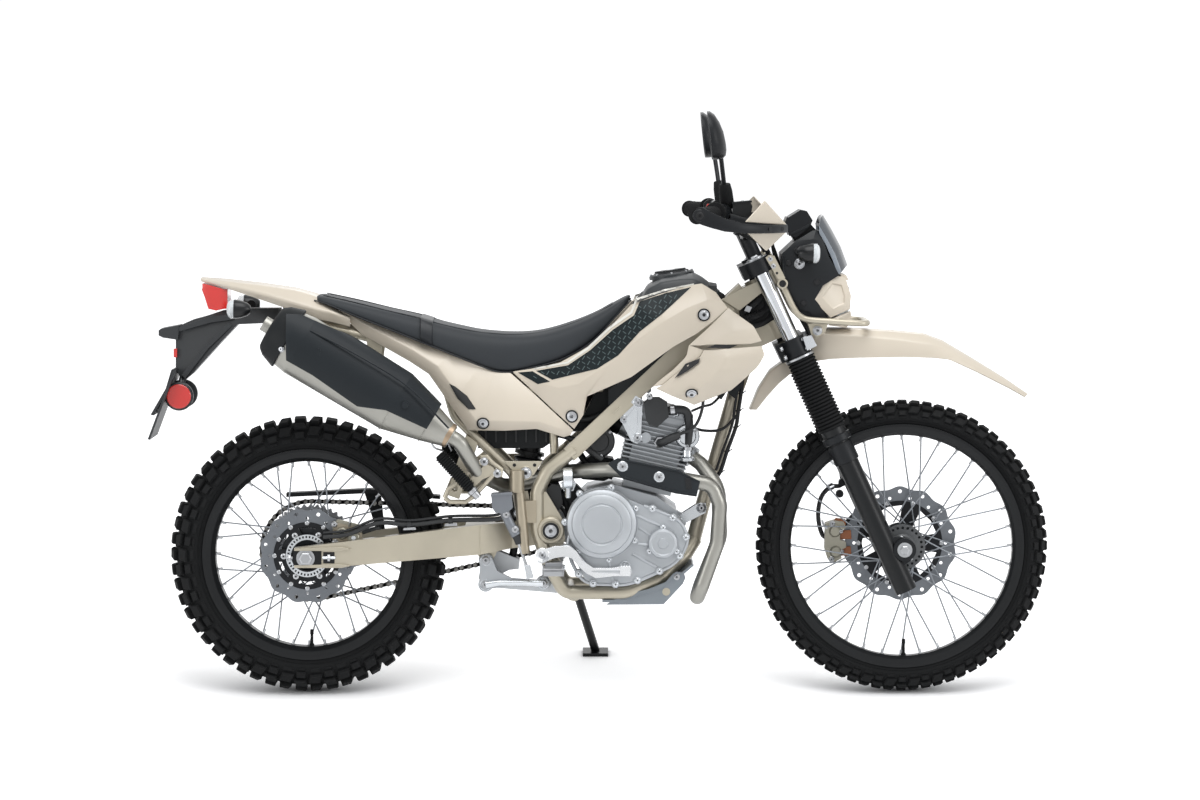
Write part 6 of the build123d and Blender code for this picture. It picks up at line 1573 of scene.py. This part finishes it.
MIRROR_HALF = (66, 53.8)
mirror_glass = finish("mirror glass", (196, 202, 208), 0.03, metal=1.0, level=0.6)
parts = []
for side in (-1, 1):
    rings = []
    for out, share, drop in ((1, 0.86, 0), (-2, 0.92, 0), (-2, 1.0, 0), (4, 1.0, 0), (13, 0.93, -3), (22, 0.76, -10),
            (29, 0.5, -18), (32, 0.16, -24)):
        ring = []
        for n in range(28):
            turn = 2 * pi * n / 28
            c, s = cos(turn), sin(turn)
            y = MIRROR_HALF[0] * share * copysign(abs(c) ** 0.72, c)
            z = MIRROR_HALF[1] * share * copysign(abs(s) ** 0.8, s) + drop
            ring.append((916 + out - z * 0.105, side * 318 + y, 1280 + z))
        rings.append(ring)
    parts += [
        loft(rings, clamp_black),
        loft([[(x - 0.4, side * 318 + (y - side * 318) * 0.99, z) for x, y, z in rings[0]],
            [(x - 0.8, side * 318 + (y - side * 318) * 0.97, 1280 + (z - 1280) * 0.97) for x, y, z in rings[0]]],
            mirror_glass),
    ]
    stem = smooth_line([(957, side * 221, 1118), (950, side * 230, 1160), (946, side * 244, 1190),
        (941, side * 274, 1226), (936, side * 300, 1252), (932, side * 308, 1266)], 6)
    parts += [
        sweep(stem, 5.2, clamp_black, 14),
        lathe([(0, -2), (13, -2), (16, 3), (15.4, 36), (13, 52), (12, 54), (7, 55), (0, 55)], (957, side * 221, 1119),
            (-0.13, side * 0.2, 0.97), rubber, 28),
    ]
piece("mirror_heads", parts, "steering", ("mirrors",), angle=40)

parts = []
red_switch = finish("red switch", (206, 44, 40), 0.35, coat=0.3)
for side in (-1, 1):
    along = (bar_at(1, side) - bar_at(0, side)).normalized()
    for start, end, size in ((-4, 8, 19), (10, 34, 21)):
        parts.append(collar([(11, start), (size, start), (size, end), (11, end)], bar_at(1.0, side) - along * 2,
            along, signal_black, 28))
    x, y, z = bar_at(1.04, side)
    parts.append(slab([(x - 24, z - 16), (x - 24, z + 14), (x - 14, z + 22), (x + 8, z + 20), (x + 12, z - 14)],
        y - 10, y + 10, signal_black))
parts += [
    slab([(908, 1120), (910, 1127), (922, 1128), (922, 1121)], -262, -252, red_switch),
    # front brake reservoir on the right, clutch perch on the left
    slab([(966, 1098), (968, 1126), (1008, 1130), (1012, 1122), (1008, 1098)], -246, -206, signal_black),
    slab([(966, 1126), (966, 1131), (1010, 1135), (1011, 1130)], -248, -204, clamp_black),
    slab([(944, 1090), (944, 1112), (1000, 1112), (1004, 1092)], 208, 232, signal_black),
]
for y in (-236, -216):
    parts += bolt((990, y, 1132.5), (-0.06, 0, 1), steel, 3, 2.5)
CABLES = (
    [(1002, 214, 1098), (1040, 180, 1092), (1064, 120, 1066), (1072, 70, 1012), (1084, 40, 962), (1100, 30, 920)],
    [(960, -232, 1090), (1000, -214, 1070), (1046, -150, 1052), (1070, -84, 1012), (1084, -44, 962),
     (1102, -34, 916)],
    [(950, -240, 1088), (990, -220, 1058), (1034, -140, 1036), (1064, -70, 990), (1080, -40, 944)],
    [(948, 244, 1090), (990, 220, 1064), (1040, 130, 1040), (1066, 60, 1000), (1078, 30, 970)],
)
for route in CABLES:
    parts.append(tube(route, 7, 4.2, rubber, 10))
for side in (-1, 1):
    # clamp caps over the bar on the risers
    parts.append(slab([(978, 1052), (980, 1064), (992, 1071), (1010, 1070), (1022, 1060), (1022, 1050)], side * 34,
        side * 62, clamp_black))
    for x, z in ((983, 1064), (1016, 1064)):
        parts += bolt((x, side * 48, z + 2), (-0.1, 0, 1), steel, 4.5, 5)
piece("bar_fittings", parts, "steering", bevel=1.0, angle=40)


# Foot controls and what hangs on the frame's sides: rider's and passenger's pegs, a polished brake pedal, the
# grey rear master cylinder, the gusset plates and the pivot nuts. The brake hose runs back along the swingarm.
plate_alloy = finish("skid plate alloy", (132, 139, 145), 0.36, metal=0.4, grain=0.05)
dress("skid_plate", plate_alloy)
PIVOT_X, PIVOT_Z = 559, 382
parts = []
for side, away in SIDES:
    parts += [
        slab([(452, 540), (540, 540), (520, 508), (482, 508)], side * 112, side * 117, champagne),
        *bolt((502, side * 117, 513), away, steel, 10.5, 7, (16, champagne)),
    ]
    # the gusset's two holes are dark discs of painted shade
    for x, z in ((476, 531), (522, 531)):
        parts.append(rod(4, 0, 1, (x, side * 117, z), away, black_parts_and_hole_shade, 16))
    parts += [
        collar([(13, -10), (31, -10), (31, 3), (28, 6), (22, 6), (20, 2), (13, 2)], (PIVOT_X, side * 122, PIVOT_Z),
            away, champagne, 48),
        rod(19, 9, 12.5, (PIVOT_X, side * 122, PIVOT_Z), away, black_parts_and_hole_shade, 40),
        *bolt((PIVOT_X, side * 134.5, PIVOT_Z), away, steel, 11, 6),
    ]
    # weld beads and the mid lug on the spars
    for x0, z0, x1, z1 in ((700, 648, 716, 664), (600, 552, 616, 570)):
        parts.append(sweep([(x0, side * 122, z0), (x1, side * 122, z1)], 2.0, champagne, 6))
    parts += bolt((783, side * 121, 688), away, steel)
# side wings of the skid plate, with a bushed hole
for side, away in SIDES:
    parts += [
        slab([(684, 210), (722, 234), (780, 246), (820, 262), (838, 282), (846, 286), (862, 284), (866, 272),
            (860, 258), (816, 211)], side * 100, side * 103, plate_alloy),
        *bolt((846, side * 103, 274), away, steel, 6, 4),
        rod(9, 0, 1.5, (822, side * 103, 240), away, champagne, 28),
    ]
# the strut's bolt and its hole, a dark disc of painted shade, and the black harness cover above the spars
for side, away in SIDES:
    parts += [
        rod(8.5, 0, 2, (493, side * 122, 407), away, black_parts_and_hole_shade, 24),
        *bolt((480, side * 120, 421), away, steel),
    ]
parts.append(slab([(600, 616), (612, 650), (650, 692), (700, 730), (752, 760), (790, 752), (770, 716), (706, 660),
    (648, 622), (622, 604)], -62, 62, black_plastic))
piece("frame_fittings", parts, "chassis", bevel=0.8)

parts = []
for side, away in SIDES:
    outer = [(318, 458), (326, 478), (342, 489), (404, 541), (402, 552), (414, 553), (424, 541), (447, 523),
        (446, 509), (430, 512), (420, 500), (384, 462), (366, 449), (330, 449)]
    frame_line = [(x, side * 140, z) for x, z in (outer + outer[:1])]
    parts += [
        sweep(frame_line, 5.5, champagne, 10),
        slab([(372, 470), (404, 500), (436, 514), (428, 528), (412, 536), (396, 520), (362, 490)], side * 136,
            side * 143, champagne),
    ]
    for x, z in ((408, 541), (438, 514)):
        parts += [
            rod(9, -24, 4, (x, side * 140, z), away, champagne, 20),
            *bolt((x, side * 144, z), away, steel, 7.5, 6),
        ]
    low, high = Vector((378, side * 158, 480)), Vector((304, side * 164, 562))
    along = (high - low).normalized()
    profile = [(9, 0)]
    for n in range(17):
        profile += [(12, 4 + n * 5.8), (14.6, 5.2 + n * 5.8), (14.6, 8.0 + n * 5.8), (12, 9.2 + n * 5.8)]
    profile += [(10, 106), (0, 106)]
    parts += [
        lathe([(0, 0), *profile], low, along, rubber, 20),
        lathe([(0, -26), (9, -26), (10, -12), (12.5, -10), (12.5, -2), (10, 0), (0, 0)], low, along, steel, 28),
    ]
piece("passenger_pegs", parts, "chassis", ("foot_pegs",), bevel=0.8)
parts = []
for side in (-1, 1):
    # the rider's folding pegs: a clevis on the frame and a toothed tread
    parts += [
        slab([(546, 288), (546, 312), (586, 312), (586, 288)], side * 118, side * 160, steel),
        slab([(541, 300), (541, 305), (589, 305), (589, 300)], side * 160, side * 246, steel),
    ]
    for x in (541, 586):
        parts.append(slab([(x, 290), (x, 306), (x + 3.5, 306), (x + 3.5, 290)], side * 158, side * 246, steel))
    parts.append(slab([(541, 290), (541, 306), (589, 306), (589, 290)], side * 243, side * 246, steel))
    for n in range(8):
        y = side * (166 + n * 10)
        for x in (543, 586):
            parts.append(slab([(x - 1.6, 305), (x + 1.6, 305), (x, 312)], y - 2.5, y + 2.5, steel))
    parts.append(rod(6, -26, 26, (566, side * 140, 300), (1, 0, 0), bright_alloy, 20))
piece("rider_pegs", parts, "chassis", bevel=0.6)

PEDAL = [(525, 326), (530, 340), (552, 345), (570, 350), (602, 350), (618, 338), (630, 318), (656, 300), (699, 300),
    (730, 306), (738, 300), (736, 282), (700, 281), (661, 277), (640, 288), (622, 304), (606, 322), (590, 326),
    (566, 322), (540, 310), (530, 312)]
polished = finish("polished pedal alloy", (226, 228, 230), 0.2, metal=0.75)
parts = [
    slab(PEDAL, -158, -147, polished),
    slab([(716, 284), (716, 306), (740, 306), (740, 284)], -184, -150, polished),
]
for n in range(4):
    parts.append(slab([(718 + n * 6, 305), (721 + n * 6, 305), (719.5 + n * 6, 310)], -182, -152, polished))
parts += [
    lathe([(0, -30), (16, -30), (16, 4), (12, 6), (0, 6)], (540, -158, 330), RIGHT, polished),
    *bolt((540, -164, 330), RIGHT, steel, 7, 5),
]
piece("brake_pedal", parts, "chassis", bevel=2.0)

master_grey = finish("grey master cylinder", (122, 126, 132), 0.4, metal=0.5, grain=0.06)
parts = [
    slab([(424, 464), (470, 468), (473, 436), (460, 424), (434, 424), (426, 436)], -146, -118, master_grey),
    slab([(422, 462), (424, 468), (471, 472), (472, 466)], -149, -115, master_grey),
    sweep([(450, -132, 432), (464, -132, 402), (480, -132, 372)], [11, 11, 12], master_grey, 20),
    sweep([(480, -132, 372), (486, -132, 352)], [10, 7], engine_rubber, 16),
    sweep([(485, -132, 354), (506, -134, 296)], 3.4, steel, 10),
    slab([(498, 306), (512, 304), (520, 276), (504, 272)], -140, -128, bright_alloy),
]
for x, z in ((458, 420), (478, 386)):
    parts += [*bolt((x, -143, z), RIGHT, steel), rod(9, 0, 12, (x, -131, z), RIGHT, master_grey, 20)]
HOSE_BACK = [(454, -128, 428), (448, -124, 412), (420, -112, 406), (330, -108, 404), (240, -108, 394),
    (166, -108, 398), (96, -110, 372), (40, -112, 366)]
parts += [
    tube(HOSE_BACK, 7, 5.2, engine_rubber),
    tube([(x, y + 5, z + 9) for x, y, z in HOSE_BACK[1:]], 7, 3.4, engine_rubber, 10),
]
for x, z in ((236, 394), (330, 403)):
    parts += [
        slab([(x - 14, z - 12), (x - 12, z - 7), (x + 14, z - 5), (x + 16, z - 11)], -116, -100, steel),
        collar([(5.4, -5), (7.4, -5), (7.4, 5), (5.4, 5)], (x, -108, z), (1, 0, 0.05), engine_rubber, 20),
    ]
piece("rear_master_cylinder", parts, "chassis", bevel=1.2)

parts = []
for side, away in SIDES:
    # chain adjusters at the arm's ends: an alloy block, a bolt and the axle nut
    parts += [
        slab([(-28, 300), (-28, 336), (36, 338), (36, 302)], side * 114, side * 118, black_metal),
        lathe([(0, 0), (16, 0), (16, 9), (12, 12), (0, 12)], (0, side * 118, 318), away, steel, 6),
        rod(21, 0, 2.4, (0, side * 117, 318), away, steel, 36),
        sweep([(-30, side * 106, 318), (-44, side * 106, 318)], 4, steel, 10),
        rod(8, 0, 6, (-34, side * 106, 318), (-1, 0, 0), steel, 6),
    ]
    # the forged arm end: raised lips round the adjuster's slot, and the bolt's open window as a dark slab of painted
    # shade
    for low, high in ((335, 341), (296, 302)):
        parts.append(slab([(-26, low), (-26, high), (82, high + 3), (104, (low + high) / 2 + 2), (82, low)],
            side * 112, side * 120, champagne))
    parts += [
        slab([(40, 306), (40, 332), (66, 332), (66, 306)], side * 112, side * 115, black_parts_and_hole_shade),
        sweep([(38, side * 115, 319), (68, side * 115, 319)], 4.2, bright_alloy),
        rod(9, 0, 6, (50, side * 115, 319), (1, 0, 0), steel, 6),
        sweep([(398, side * 115, 329), (398, side * 115, 391)], 1.6, champagne, 6),
    ]
# the linkage's forged eyes and bolts under the arm, and the lug that carries them
for side in (-1, 1):
    parts.append(slab([(386, 330), (438, 334), (424, 306), (414, 300), (402, 304)], side * 60, side * 72, champagne))
for x, z in ((410, 310), (409, 254), (541, 257)):
    parts += [
        lathe([(0, -14), (17, -14), (17, 2), (14, 4), (0, 4)], (x, -76, z), RIGHT, cast_alloy),
        *bolt((x, -80, z), RIGHT, steel, 8.5, 6, (13, bright_alloy)),
    ]
parts += [
    slab([(396, 316), (424, 316), (436, 286), (470, 268), (472, 252), (404, 242), (396, 254)], -82, -70, cast_alloy),
    sweep([(409, -84, 253), (440, -84, 258), (500, -84, 258), (541, -84, 257)], [10, 8, 8, 10], bright_alloy, 16,
        0.7),
]
piece("axle_adjusters", parts, "chassis", bevel=0.8)

CHAIN_STEP = 15.875
REAR_ROOT, FRONT_ROOT, ROLLER = 108.3, 32.3, 6
chain_steel = finish("oiled chain steel", (128, 127, 124), 0.34, metal=0.8, grain=0.04)


def chain_path():
    """Points of the chain's centre line, one a pitch: round the rear sprocket, over, round the front one, under."""
    rear, front = Vector((0, 0, 318)), Vector((634, 0, 378))
    big, small = REAR_ROOT + ROLLER, FRONT_ROOT + ROLLER
    span = front - rear
    lean = acos((big - small) / span.length)
    base = atan2(span.z, span.x)
    line = [rear + Vector((cos(base + lean + (2 * pi - 2 * lean) * n / 90), 0,
        sin(base + lean + (2 * pi - 2 * lean) * n / 90))) * big for n in range(91)]
    line += [front + Vector((cos(base - lean + 2 * lean * n / 30), 0, sin(base - lean + 2 * lean * n / 30))) * small
        for n in range(31)]
    line.append(line[0])
    total = sum((b - a).length for a, b in zip(line, line[1:]))
    count = 2 * round(total / CHAIN_STEP / 2)
    step, walked, wanted, found = total / count, 0.0, 0.0, []
    for a, b in zip(line, line[1:]):
        length = (b - a).length
        while wanted < walked + length - 1e-6 and len(found) < count:
            found.append(a.lerp(b, (wanted - walked) / length))
            wanted += step
        walked += length
    return found


parts = []
links = chain_path()
for n, (a, b) in enumerate(zip(links, links[1:] + links[:1])):
    ahead = (b - a).normalized()
    up = Vector((-ahead.z, 0, ahead.x))
    outline = []
    for at, way in ((a, -1), (b, 1)):
        for turn_deg in ((-90, -45, 0, 45, 90) if way == 1 else (90, 135, 180, 225, 270)):
            turn = radians(turn_deg)
            outline.append(at + ahead * (6.2 * cos(turn)) + up * (6.2 * sin(turn)))
    outline.insert(5, (a + b) / 2 + up * 4.4)
    outline.append((a + b) / 2 - up * 4.4)
    offset = 6.6 if n % 2 else 4.6
    for side in (-1, 1):
        parts.append(slab([(p.x, p.z) for p in outline], 70 + side * offset, 70 + side * (offset - 1.8), chain_steel))
    parts.append(lathe([(0, -6.9), (2.6, -6.9), (2.6, -3), (5, -3), (5, 3), (2.6, 3), (2.6, 6.9), (0, 6.9)],
        (a.x, 70, a.z), LEFT, chain_steel, 10))
piece("chain_links", parts, "chassis", ("chain",))
